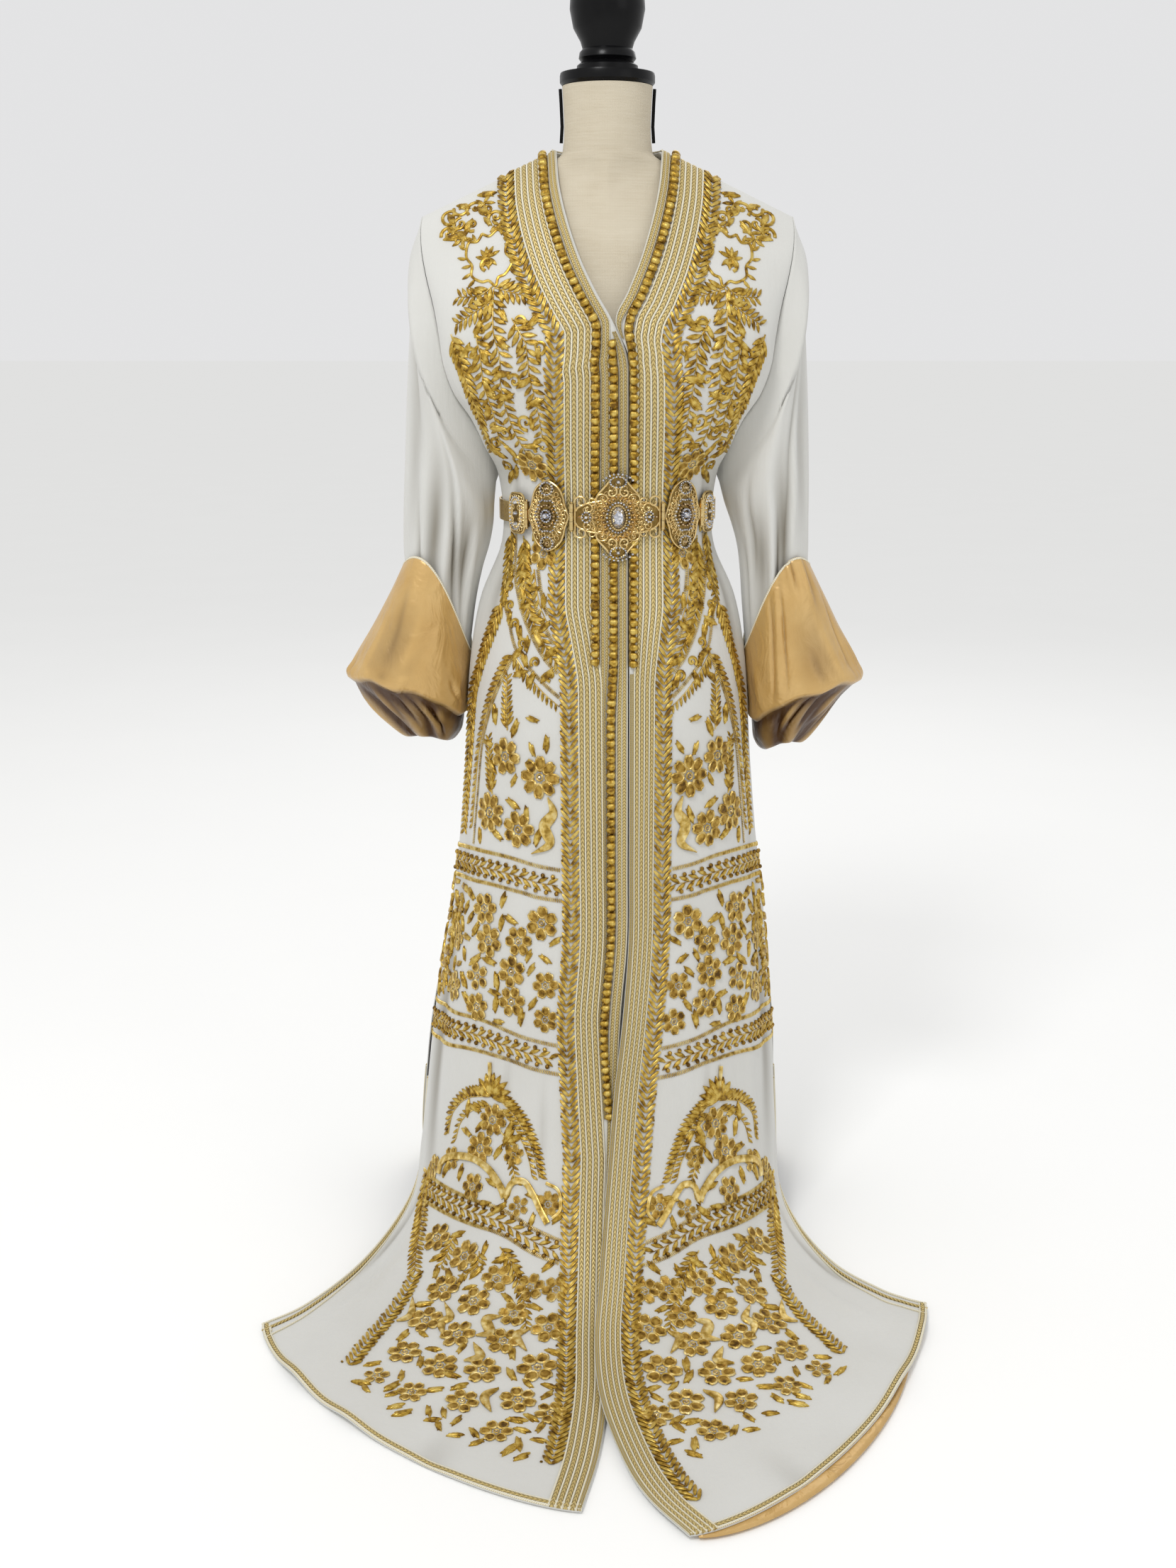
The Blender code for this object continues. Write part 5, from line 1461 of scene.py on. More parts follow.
@dataclass
class Needle:
    """Embroiders one front panel: every motif is laid from the panel's own places."""

    panel: Panel
    shapes: Shapes
    thread: Bundle
    cord: Bundle
    petals: Bundle
    stones: Bundle
    spangles: Bundle
    lift: float = 0.0002

    def aside(self, spots: Sequence[Array], distance: float) -> tuple[Array, Array]:
        """Places at a distance to the side of places u, v on a line with direction turn."""
        u, v, turn = spots
        return self.panel.shifted(u, v, distance * np.cos(turn), -distance * np.sin(turn))

    def ladder(self, route: Route) -> None:
        """A couched line: short bars across the line, close together."""
        u, v, turn = route.even(0.0022)
        self.cord.lay(self.shapes.rung, u, v, turn + math.pi / 2, lift=self.lift)

    def stem(self, route: Route, width: float = 0.0022) -> None:
        """A thin raised line that thins out at its end."""
        share = np.linspace(0, 1, len(route.u))
        self.cord.rope(route.u, route.v, width * (1 - 0.5 * share), 0.0013, self.lift)

    def leaf(self, u: Array, v: Array, turn: Array | float, size: Array | float = 1.0, hand: int = 1) -> None:
        """Padded leaves that bend to the hand's side."""
        shape = self.shapes.leaf if hand > 0 else self.shapes.leaf_back
        self.thread.lay(shape, u, v, turn, size, self.lift)

    def branch(self, route: Route, pitch: float = 0.0065, spread: float = 0.55, size: float = 0.9,
               sides: tuple[int, ...] = (-1, 1)) -> None:
        """A feathered branch: leaves that point forward along both sides of a line."""
        self.stem(route, 0.0018)
        for index, side in enumerate(sides):
            u, v, turn = route.even(pitch, pitch * (0.3 + 0.5 * index))
            taper = 1 - 0.35 * np.linspace(0, 1, len(u))
            self.leaf(u, v, turn + side * spread, 0.92 * size * taper, side)

    def vine(self, route: Route) -> None:
        """A berry vine between two ladders: stem, paired leaves and berries."""
        self.stem(route, 0.0016)
        for side in (-1, 1):
            u, v, turn = route.even(0.0132, 0.002 + 0.003 * side)
            self.leaf(u, v, turn + side * 0.72, 0.74, -side)
            berries = self.aside(route.even(0.0132, 0.0088 + 0.003 * side), side * 0.0100)
            self.petals.lay(self.shapes.bead, *berries, 0.0, 1.9, self.lift)

    def chevrons(self, route: Route, width: float = CHEVRON_WIDTH, pitch: float = 0.0078) -> None:
        """A column of slanting bars that meet in the middle, with a spangle here and there."""
        for side in (-1, 1):
            u, v, turn = route.even(pitch, pitch * 0.5)
            us, vs = self.aside((u, v, turn), side * width * 0.255)
            ripple = 0.07 * np.sin(np.arange(len(u)) * 2.4)
            self.thread.lay(self.shapes.bar, us, vs, turn - side * (0.72 + ripple), width / CHEVRON_WIDTH,
                            self.lift)
            edge = self.aside(route.even(0.031, 0.010 + 0.006 * side), side * width * 0.47)
            self.spangles.lay(self.shapes.sequin, *edge, 0.0, 1.0, self.lift + 0.0004)

    def flower(self, u: float, v: float, width: float, petals: int, turn: float) -> None:
        """An ordinary open flower: padded petals round a ring with a stone."""
        angles = turn + 2 * math.pi * np.arange(petals) / petals
        scale = width / 0.0445
        count = np.full(petals, u), np.full(petals, v)
        squeeze = min(1.0, 6.3 / petals)
        for bundle, shape, start in ((self.petals, self.shapes.petal, 0.0071),
                                     (self.cord, self.shapes.petal_rim, 0.0055)):
            narrowed = Prototype(shape.points * np.array((squeeze, 1.0, 1.0)), shape.faces, shape.uv)
            bundle.lay(narrowed, *count, angles, scale, self.lift, y=start)
        self.cord.lay(self.shapes.ring, [u], [v], 0.0, scale, self.lift + 0.0006)
        self.stones.lay(self.shapes.bead, [u], [v], 0.0, scale * 0.95, self.lift + 0.0006)

    def wave_leaf(self, route: Route, width: float = 0.011) -> None:
        """A long curved leaf with a hollow middle."""
        share = np.linspace(0, 1, len(route.u))
        belly = np.maximum(np.sin(math.pi * share) ** 0.8, 0.12)
        self.cord.rope(route.u, route.v, width * belly, 0.0024, 0.0014)

    def scroll(self, u: float, v: float, radius: float, turn: float, hand: int, turns: float = 1.1) -> None:
        """A curling tendril with a bead at its centre."""
        t = np.linspace(0, 1, 16)
        angle = turn + hand * t * turns * 2 * math.pi
        reach = radius * (1 - 0.78 * t)
        us, vs = self.panel.shifted(np.full(16, u), np.full(16, v), reach * np.sin(angle), reach * np.cos(angle))
        self.thread.rope(us, vs, 0.0044 * (1 - 0.4 * t), 0.0019, self.lift)
        self.thread.lay(self.shapes.bead, [u], [v], 0.0, 1.1, self.lift)


# Flowers of a front panel: place from the chevrons to the side, panel row, width in mm,
# petals and turn in degrees.
FLOWERS = (
    (0.15, 10.72, 42, 8, 10), (0.05, 12.95, 38, 6, 0),
    (0.36, 15.90, 46, 7, 12), (0.12, 16.06, 52, 8, 0), (0.47, 16.55, 50, 8, 25), (0.25, 16.66, 46, 7, 5),
    (0.45, 17.78, 40, 6, 15), (0.10, 17.80, 42, 6, 0), (0.40, 18.20, 42, 6, 40), (0.22, 18.10, 38, 6, 20),
    (0.24, 18.52, 40, 6, 0), (0.68, 18.35, 38, 6, 30), (0.62, 19.02, 40, 6, 0), (0.22, 18.92, 38, 6, 15),
    (0.44, 18.72, 36, 5, 10), (0.06, 18.62, 34, 6, 20), (0.42, 19.14, 36, 6, 8), (0.05, 19.08, 32, 6, 0),
    (0.30, 20.70, 40, 8, 0), (0.36, 21.22, 40, 7, 10), (0.53, 21.66, 30, 6, 0), (0.68, 22.10, 32, 6, 20),
    (0.20, 21.14, 28, 6, 0), (0.39, 21.92, 34, 6, 15), (0.17, 21.95, 26, 5, 0), (0.05, 21.80, 32, 7, 10),
    (0.57, 23.25, 40, 6, 0), (0.40, 23.22, 42, 6, 25), (0.24, 23.36, 38, 6, 10), (0.45, 24.02, 42, 6, 0),
    (0.31, 23.98, 42, 6, 20), (0.11, 23.28, 36, 6, 0), (0.01, 23.20, 34, 6, 10), (0.16, 23.86, 36, 6, 15),
    (0.03, 23.92, 42, 6, 0), (0.46, 24.68, 42, 6, 30), (0.33, 24.66, 42, 6, 0), (0.18, 24.42, 40, 6, 12),
    (0.06, 24.70, 46, 6, 0), (0.46, 25.34, 40, 6, 0), (0.34, 25.28, 42, 6, 20), (0.22, 25.06, 42, 6, 0),
    (0.10, 25.34, 42, 6, 28), (0.00, 25.42, 36, 6, 0), (0.24, 25.66, 38, 6, 15), (0.37, 25.86, 34, 6, 0),
    (0.13, 25.94, 36, 6, 8), (0.48, 25.92, 30, 5, 0),
)

# Feathered branches: the places of each line (from the chevrons to the side, panel row),
# then the leaf spacing in mm, spread in degrees, leaf scale, and which sides have leaves.
BRANCHES = (
    (((0.15, 5.02), (0.26, 5.16), (0.44, 5.00)), 7, 44, 0.95, (-1, 1)),
    (((0.14, 5.08), (0.05, 5.36), (-0.05, 5.66)), 7, 44, 0.95, (-1, 1)),
    (((0.17, 5.40), (0.34, 5.60), (0.54, 5.80)), 7, 44, 1.00, (-1, 1)),
    (((0.15, 5.10), (0.21, 5.80), (0.26, 6.60), (0.26, 7.60), (0.29, 8.70), (0.27, 9.50), (0.20, 10.25)),
     10, 46, 1.00, (-1, 1)),
    (((0.11, 6.10), (0.10, 7.00), (0.08, 8.00), (0.05, 9.00), (0.02, 9.90)), 9, 44, 1.00, (-1, 1)),
    (((0.38, 6.40), (0.40, 7.60), (0.42, 8.80), (0.47, 10.00)), 10, 44, 0.95, (-1, 1)),
    (((0.62, 6.05), (0.58, 6.90), (0.56, 7.90), (0.62, 9.00), (0.70, 10.20)), 8, 26, 1.00, (-1, 1)),
    (((0.56, 12.50), (0.54, 13.05), (0.46, 13.60), (0.42, 13.90)), 8, 32, 0.95, (-1, 1)),
    (((0.32, 12.60), (0.24, 13.40), (0.16, 14.00), (0.05, 14.60), (0.00, 14.78)), 9, 26, 1.00, (-1, 1)),
    (((0.14, 13.30), (0.08, 13.80), (0.02, 14.20)), 11, 30, 0.85, (1,)),
    (((0.44, 13.95), (0.56, 14.50), (0.68, 15.00), (0.76, 15.40), (0.78, 16.2), (0.78, 16.9)), 8, 32, 1.00, (-1, 1)),
    (((0.30, 14.72), (0.44, 15.12), (0.56, 15.55), (0.64, 16.00), (0.66, 16.80)), 8, 32, 0.95, (1,)),
    (((0.30, 14.74), (0.20, 14.98), (0.10, 15.16), (0.00, 15.30)), 7, 40, 0.80, (1,)),
    (((0.35, 15.62), (0.36, 15.30), (0.36, 15.00)), 7, 34, 0.80, (-1, 1)),
    (((0.46, 16.35), (0.50, 16.05), (0.52, 15.75)), 7, 34, 0.80, (-1, 1)),
    (((0.70, 17.75), (0.74, 18.00), (0.80, 18.60), (0.82, 19.30)), 9, 36, 0.95, (-1, 1)),
    (((0.30, 20.34), (0.44, 20.52), (0.53, 20.85), (0.56, 21.28)), 6, 36, 1.05, (1,)),
    (((0.28, 20.34), (0.18, 20.60), (0.12, 21.00), (0.09, 21.40)), 6, 36, 1.05, (-1,)),
    (((0.31, 20.50), (0.41, 20.68), (0.48, 20.95), (0.51, 21.30)), 7, 30, 0.80, (1,)),
    (((0.27, 20.50), (0.19, 20.74), (0.14, 21.10), (0.12, 21.40)), 7, 30, 0.80, (-1,)),
    (((0.26, 20.85), (0.22, 21.00), (0.20, 21.35), (0.18, 21.60)), 7, 36, 0.70, (-1, 1)),
    (((0.75, 22.20), (0.78, 22.80), (0.72, 23.30), (0.66, 23.80), (0.61, 24.10)), 8, 34, 1.00, (-1, 1)),
    (((0.24, 22.75), (0.18, 23.05), (0.13, 23.55), (0.11, 24.05)), 8, 30, 0.85, (-1, 1)),
    (((0.48, 22.95), (0.49, 23.30), (0.50, 23.65)), 8, 36, 0.85, (-1, 1)),
    (((0.33, 23.00), (0.33, 23.30), (0.38, 23.60)), 8, 36, 0.85, (-1, 1)),
)

# Couched ladder lines.
LADDERS = (
    ((0.46, 12.58), (0.40, 13.17), (0.26, 13.83), (0.17, 14.33), (0.08, 14.72), (0.00, 14.92)),
    ((0.44, 13.83), (0.35, 14.20), (0.29, 14.62), (0.18, 14.90), (0.08, 15.08), (0.00, 15.20)),
    ((0.23, 13.08), (0.13, 13.75), (0.06, 14.17), (0.00, 14.52)),
    ((0.10, 13.30), (0.05, 13.75), (0.00, 14.10)),
    ((0.29, 14.70), (0.40, 15.05), (0.52, 15.48), (0.60, 15.90), (0.62, 16.60), (0.62, 17.00)),
    ((0.43, 14.00), (0.54, 14.52), (0.65, 15.00), (0.73, 15.45)),
    ((0.96, 17.20), (0.75, 17.10), (0.55, 17.03), (0.32, 17.00), (0.13, 17.04), (0.00, 17.06)),
    ((0.94, 17.62), (0.75, 17.52), (0.45, 17.42), (0.23, 17.42), (0.13, 17.45), (0.00, 17.46)),
    ((0.96, 19.58), (0.70, 19.42), (0.38, 19.30), (0.15, 19.38), (0.00, 19.42)),
    ((0.96, 20.12), (0.70, 19.96), (0.45, 19.78), (0.25, 19.74), (0.10, 19.80), (0.00, 19.82)),
    ((0.82, 22.45), (0.60, 22.26), (0.36, 22.13), (0.23, 22.10), (0.11, 22.25), (0.00, 22.36)),
    ((0.76, 22.92), (0.60, 22.74), (0.36, 22.56), (0.23, 22.52), (0.11, 22.66), (0.00, 22.74)),
)
VINES = (
    ((0.93, 17.41), (0.75, 17.31), (0.50, 17.23), (0.28, 17.21), (0.13, 17.25), (0.02, 17.26)),
    ((0.93, 19.84), (0.70, 19.68), (0.42, 19.54), (0.22, 19.56), (0.10, 19.60), (0.02, 19.62)),
    ((0.78, 22.68), (0.60, 22.50), (0.36, 22.35), (0.23, 22.31), (0.11, 22.46), (0.02, 22.55)),
)
# Thick padded arches and long curved leaves: their places and width in mm.
ARCHES = (
    (((0.62, 22.10), (0.60, 21.86), (0.52, 21.60), (0.40, 21.44), (0.31, 21.50), (0.25, 21.72), (0.23, 21.88)), 9.5),
    (((0.23, 21.88), (0.20, 21.60), (0.15, 21.52), (0.11, 21.70), (0.08, 21.92), (0.05, 22.12)), 8.0),
    (((0.32, 19.86), (0.315, 20.10), (0.31, 20.30)), 5.0),
    (((0.06, 21.46), (0.01, 21.55), (0.00, 21.85), (0.03, 22.02)), 4.0),
)
WAVY_LEAVES = (
    (((0.07, 16.26), (0.04, 16.42), (0.09, 16.58), (0.06, 16.76), (0.16, 16.90)), 15.0),
    (((0.20, 24.00), (0.25, 24.18), (0.23, 24.38), (0.27, 24.56)), 13.0),
    (((0.42, 24.24), (0.38, 24.42), (0.40, 24.60), (0.37, 24.80)), 12.0),
    (((0.27, 24.70), (0.24, 24.86), (0.28, 25.06)), 12.0),
    (((0.10, 24.06), (0.14, 24.24), (0.10, 24.46)), 11.0),
    (((0.55, 24.50), (0.52, 24.76), (0.55, 25.00)), 10.0),
    (((0.16, 25.26), (0.19, 25.46), (0.16, 25.66)), 11.0),
)
# Curling tendrils: place, row, radius in mm, first direction in degrees and hand.
SCROLLS = (
    (0.40, 2.10, 11, 0, 1), (0.28, 2.00, 10, 120, -1), (0.17, 2.30, 10, 60, 1), (0.08, 2.60, 9, 180, -1),
    (0.42, 2.85, 9, 90, 1), (0.30, 2.70, 9, 200, -1), (0.20, 2.95, 8, 0, 1), (0.02, 3.05, 8, 100, 1),
    (0.14, 4.35, 8, 30, 1), (0.08, 6.25, 8, 40, -1), (0.33, 6.20, 8, 0, 1), (0.45, 6.90, 7, 90, 1),
    (0.03, 7.20, 7, 0, -1), (0.17, 8.00, 7, 120, 1), (0.34, 8.30, 8, 0, -1), (0.49, 8.60, 8, 45, 1),
    (0.15, 9.35, 9, 0, 1), (0.36, 9.60, 8, 90, -1), (0.02, 10.15, 11, 60, 1), (0.52, 9.90, 8, 0, 1),
    (0.32, 10.60, 9, 0, -1), (0.50, 10.80, 8, 60, 1), (0.02, 11.00, 8, 0, 1), (0.24, 13.00, 6, 0, 1),
    (0.05, 14.95, 6, 0, 1), (0.14, 14.80, 6, 40, 1), (0.22, 14.55, 6, 0, 1), (0.28, 14.28, 6, 40, 1),
    (0.33, 14.00, 6, 0, 1), (0.37, 13.70, 6, 30, 1), (0.42, 13.35, 6, 0, 1), (0.11, 14.35, 5, 0, -1),
)
# Fields that sprigs fill: reach from the chevrons to the side, reach of rows, and gap
# between sprigs.
SPRIG_FIELDS = (
    ((0.03, 0.96), (17.62, 19.26), 0.0150), ((0.02, 0.52), (22.86, 26.3), 0.0160),
    ((0.04, 0.56), (15.45, 16.90), 0.0235), ((0.16, 0.46), (20.60, 21.30), 0.0170),
    ((0.02, 0.52), (6.0, 10.2), 0.0250), ((0.02, 0.54), (10.2, 11.2), 0.0200),
    ((0.04, 0.44), (1.7, 3.3), 0.0200), ((0.02, 0.42), (12.3, 14.2), 0.0200),
    ((0.02, 0.30), (14.2, 15.0), 0.0170), ((0.02, 0.60), (21.7, 22.1), 0.0200),
)

# Cusped outline round the shoulder medallion, as shares of its half size.
MEDALLION = ((0.0, -1.05), (0.30, -0.82), (0.72, -0.92), (0.98, -0.40), (0.80, 0.05), (0.95, 0.45),
             (0.55, 0.80), (0.22, 0.85), (0.0, 1.12))


@dataclass
class Embroidery:
    """Gold embroidery, trims and knots of one front panel."""

    side: Side
    panel: Panel
    shapes: Shapes
    finishes: Wardrobe
    medallion_width: float = 0.026    # half the width and height of the shoulder's medallion
    medallion_height: float = 0.034
    medallion_at: tuple[float, float] = (0.13, 4.20)
    palmette_at: tuple[float, float] = (0.31, 20.36)
    tries: int = 900                  # places tried for sprigs in each field

    def sew(self) -> list[Item]:
        """Lay all the motifs and return the pieces."""
        needle = Needle(self.panel, self.shapes, *(Bundle(self.panel, self.side is Side.RIGHT) for _ in range(5)))
        self.band_motifs(needle)
        self.shoulder(needle)
        for w, row, width, petals, turn in FLOWERS:
            needle.flower(self.panel.at(w, row), row, width * MILLIMETRE, petals, math.radians(turn))
        for places, pitch, spread, size, sides in BRANCHES:
            needle.branch(Route.beside(self.panel, places), pitch * MILLIMETRE, math.radians(spread), size, sides)
        for places in LADDERS:
            needle.ladder(Route.beside(self.panel, places))
        for places in VINES:
            needle.vine(Route.beside(self.panel, places))
        for places, width in ARCHES:
            route = Route.beside(self.panel, places)
            needle.cord.rope(route.u, route.v, width * MILLIMETRE, 0.0020, 0.0016, flat=True)
        for places, width in WAVY_LEAVES:
            needle.wave_leaf(Route.beside(self.panel, places, 8), width * MILLIMETRE)
        for w, row, radius, turn, hand in SCROLLS:
            needle.scroll(self.panel.at(w, row), row, 1.15 * radius * MILLIMETRE, math.radians(turn), hand)
        self.palmette(needle)
        self.sprigs(needle)
        look = self.finishes
        return [settle(bundle.made(name + self.side.word, material, smooth), slot)
                for bundle, name, material, smooth, slot in (
                    (needle.thread, "embroidery_", look.thread, 50, "gold_thread"),
                    (needle.cord, "embroidery_cord_", look.bright, 50, "gold_thread"),
                    (needle.petals, "petals_", look.petal, 50, "gold_thread"),
                    (needle.stones, "embroidery_stones_", look.champagne, 20, "crystal"),
                    (needle.spangles, "spangles_", look.ground, 50, "belt_metal"))]

    def band_motifs(self, needle: Needle) -> None:
        """Chevron column beside the braids, from the neck to the hem, and the outer one."""
        rows = np.linspace(0.35, self.panel.last - 0.75, 200)
        middle = self.panel.stripe(1.0, rows) + CHEVRON_WIDTH / 2 + 0.001
        needle.chevrons(Route(self.panel, self.panel.across_at(middle, rows), rows))
        outer = ((0.60, 24.10), (0.59, 24.50), (0.585, 25.00), (0.58, 25.50), (0.565, 26.05))
        needle.chevrons(Route.beside(self.panel, outer), 0.019)

    def shoulder(self, needle: Needle) -> None:
        """Cusped medallion with a fringe of small leaves, and a lily inside it."""
        u, v = self.panel.at(*self.medallion_at), self.medallion_at[1]
        outline = list(MEDALLION) + [(-x, y) for x, y in reversed(MEDALLION[:-1])]
        rows = spline_rows(outline, np.linspace(0, len(outline) - 1, 90))
        x, y = rows[:, 0] * self.medallion_width, rows[:, 1] * self.medallion_height
        spots = self.panel.shifted(np.full(90, u), np.full(90, v), x, y)
        needle.thread.rope(*spots, 0.0032, 0.0018, needle.lift)
        for k in range(2, 90, 4):
            out = math.atan2(x[k], y[k])
            if abs(x[k]) > 0.008 and y[k] < 0.026:
                needle.leaf([spots[0][k]], [spots[1][k]], out, 0.62)
        for angle in (-150, -110, 110, 150, 180, 0, 40, -40):
            needle.leaf([u], [v], math.radians(angle), 0.72)
        for w, row in ((0.36, 2.95), (0.10, 2.30), (0.30, 3.30), (0.00, 3.40)):
            for angle in (-140, -70, 0, 70, 140):
                needle.leaf([self.panel.at(w, row)], [row], math.radians(angle), 0.66)

    def palmette(self, needle: Needle) -> None:
        """Fan of leaves on top of the pointed arch."""
        u, v = self.panel.at(*self.palmette_at), self.palmette_at[1]
        for angle in (-100, -125, -150, -175, 165, 140, 115, 92):
            needle.leaf([u], [v], math.radians(angle), 1.35)

    def sprigs(self, needle: Needle) -> None:
        """Sprigs of two leaves in the gaps between the flowers of the fields."""
        taken = [(self.panel.at(w, row), row, width / 2 * MILLIMETRE) for w, row, width, _, _ in FLOWERS]
        taken += [(self.panel.at(w, row), row, 0.010) for places, _ in WAVY_LEAVES for w, row in places]
        across, rows, radii = np.array(taken).T
        centres = self.panel.smooth(across, rows)
        rows = np.linspace(0, self.panel.last, 120)
        lines = self.panel.beside(np.zeros(120), rows)
        draw = np.random.default_rng(7)
        kept: list[Array] = []
        for (w_low, w_high), (first, last), gap in SPRIG_FIELDS:
            for _ in range(self.tries):
                w, row = draw.uniform(w_low, w_high), draw.uniform(first, last)
                turn, size = draw.uniform(-math.pi, math.pi), draw.uniform(0.80, 1.10)
                line = float(np.interp(row, rows, lines))
                u = line + w * (1 - line)
                spot = self.panel.smooth(np.array(u), np.array(row))
                if np.any(np.linalg.norm(centres - spot, axis=1) < radii * 0.92 + 0.0060):
                    continue
                if kept and np.min(np.linalg.norm(np.array(kept) - spot, axis=1)) < gap:
                    continue
                kept.append(spot)
                for bend, share, hand in ((-0.22, 1.12, 1), (0.62, 0.84, -1)):
                    shape = self.shapes.leaf if hand > 0 else self.shapes.leaf_back
                    needle.thread.lay(shape, [u], [row], turn + bend, size * share, needle.lift, y=-0.007)


# Edgings of the hems and slits: distance from the edge, width, and whether it is gold.
EDGINGS = ((0.0016, 0.0028, False), (0.0052, 0.0044, True), (0.0084, 0.0020, False))
SLIT_TOP = 21.0  # row at which the side slits begin


def edging(panel: Panel, gold: Bundle, cream: Bundle, across: int, down: int) -> None:
    """Braid and cream piping along the hem and the side slits.

    Args:
        panel: the panel with its slits where u is 1 or -1.
        gold: takes the braid.
        cream: takes the piping.
        across: number of places along the hem.
        down: number of places along each slit.
    """
    hem, rows = np.linspace(*panel.u_range, across), np.linspace(SLIT_TOP, panel.last, down)
    zeros = np.zeros_like(hem)
    for inset, width, golden in EDGINGS:
        bundle = gold if golden else cream
        bundle.rope(*panel.shifted(hem, zeros + panel.last, zeros, zeros - inset), width, 0.0018, 0.0002)
        for end in filter(None, panel.u_range):
            ones = np.full_like(rows, end)
            us, _ = panel.shifted(ones, rows, -inset * ones, 0 * ones)
            bundle.rope(us, rows, width, 0.0018, 0.0002)


@dataclass
class Trim:
    """Braids, knots and edgings of one front panel."""

    side: Side
    panel: Panel
    shapes: Shapes
    finishes: Wardrobe

    # Knot columns: first and last row, and the distance from the centre edge at both and
    # between them.
    KNOTS = {
        Side.LEFT: (((0.1, 0.016), (7.0, 0.018), (8.0, 0.038), (14.8, 0.038)),
                    ((7.5, 0.010), (8.0, 0.017), (14.8, 0.017), (15.4, 0.0200), (19.3, 0.0190), (20.4, 0.0080))),
        Side.RIGHT: (((0.1, 0.016), (7.0, 0.016), (8.0, 0.0045), (14.8, 0.0045)),),
    }
    # Plaited cords beside the knots: rows with the inner and outer line.
    CORDS = {
        Side.LEFT: (((0.0, 0.001, 0.010), (7.0, 0.003, 0.012), (8.0, 0.022, 0.032), (14.7, 0.022, 0.032),
                     (15.3, 0.026, 0.031), (19.0, 0.0245, 0.028), (20.4, 0.0120, 0.0150)),
                    ((7.3, 0.002, 0.006), (8.0, 0.0015, 0.011), (14.7, 0.0015, 0.011), (15.4, 0.001, 0.0135),
                     (19.3, 0.001, 0.0125), (21.0, 0.001, 0.0100), (27.0, 0.001, 0.0055))),
        Side.RIGHT: (((0.0, 0.001, 0.010), (6.6, 0.001, 0.010), (7.5, 0.0005, 0.003)),
                     ((14.9, 0.0005, 0.0055), (28.0, 0.0005, 0.0055))),
    }
    PAIRS = 4          # wide plaited stripes, each between two cream cords
    DENSITY = 7        # steps of a cord for each row of the panel
    STRIPE, CREAM = 0.70, 0.34     # widths of a stripe and a cream cord, as shares of a pair
    UNDER = 0.0003     # height of the cords' underside over the cloth

    def rows(self, first: float, last: float) -> Array:
        """Row numbers close enough together for a smooth cord."""
        return np.linspace(first, last, max(int((last - first) * self.DENSITY), 12))

    def spread(self, table: Sequence[Sequence[float]]) -> Iterable[Array]:
        """Row numbers for a cord, and the other columns of its table at them."""
        lines = np.array(table)
        rows = self.rows(float(lines[0, 0]), float(lines[-1, 0]))
        return rows, *(np.interp(rows, lines[:, 0], column) for column in lines.T[1:])

    def sew(self) -> list[Item]:
        """Lay the trims and return the pieces."""
        gold, cream, knots, ground = (Bundle(self.panel, self.side is Side.RIGHT) for _ in range(4))
        self.stripes(gold, cream)
        for table in self.CORDS[self.side]:
            self.cords(gold, cream, table)
        for table in self.KNOTS[self.side]:
            self.knots(knots, table)
            rows, distance = self.spread(table)
            self.lay(ground, distance, rows, 0.0100, 0.0007)
        edging(self.panel, gold, cream, 140, 70)
        word = self.side.word
        return [
            settle(gold.made("braid_gold_" + word, self.finishes.gold_braid), "gold_braid", "braid_band_" + word),
            settle(cream.made("braid_cream_" + word, self.finishes.cream_cord), "gold_braid"),
            settle(knots.made("knots_" + word, self.finishes.thread), "gold_thread"),
            settle(ground.made("loops_" + word, self.finishes.dark_braid), "gold_braid"),
        ]

    def lay(self, bundle: Bundle, distance: Array, rows: Array, width: Array | float, height: float) -> None:
        """Lay a cord at a distance from the centre edge."""
        bundle.rope(self.panel.across_at(distance, rows), rows, width, height, self.UNDER)

    def stripes(self, gold: Bundle, cream: Bundle) -> None:
        """Wide plaited stripes with a narrow cream cord on both sides of each."""
        rows = self.rows(0.0, self.panel.last)
        whole = self.panel.stripe(1.0, rows) - self.panel.stripe(0.0, rows)
        for k in range(self.PAIRS):
            middle = (k + 0.5) / self.PAIRS
            self.lay(gold, self.panel.stripe(middle, rows), rows, whole * self.STRIPE / self.PAIRS, 0.0021)
        for k in range(self.PAIRS + 1):
            self.lay(cream, self.panel.stripe(k / self.PAIRS, rows), rows, whole * self.CREAM / self.PAIRS, 0.0019)

    def cords(self, gold: Bundle, cream: Bundle, table: Sequence[tuple[float, float, float]]) -> None:
        """Two plaited cords with a cream one between and at the edges."""
        rows, inner, outer = self.spread(table)
        for share in (0.27, 0.73):
            self.lay(gold, inner + (outer - inner) * share, rows, (outer - inner) * 0.38, 0.0018)
        for share in (0.02, 0.5, 0.98):
            self.lay(cream, inner + (outer - inner) * share, rows, (outer - inner) * 0.14, 0.0016)

    def knots(self, bundle: Bundle, table: Sequence[tuple[float, float]]) -> None:
        """A column of knotted buttons."""
        rows, distance = self.spread(table)
        route = Route(self.panel, self.panel.across_at(distance, rows), rows)
        u, v, turn = route.even(0.0094, 0.004)
        bundle.lay(self.shapes.knot, u, v, turn, 1.12, 0.0006)


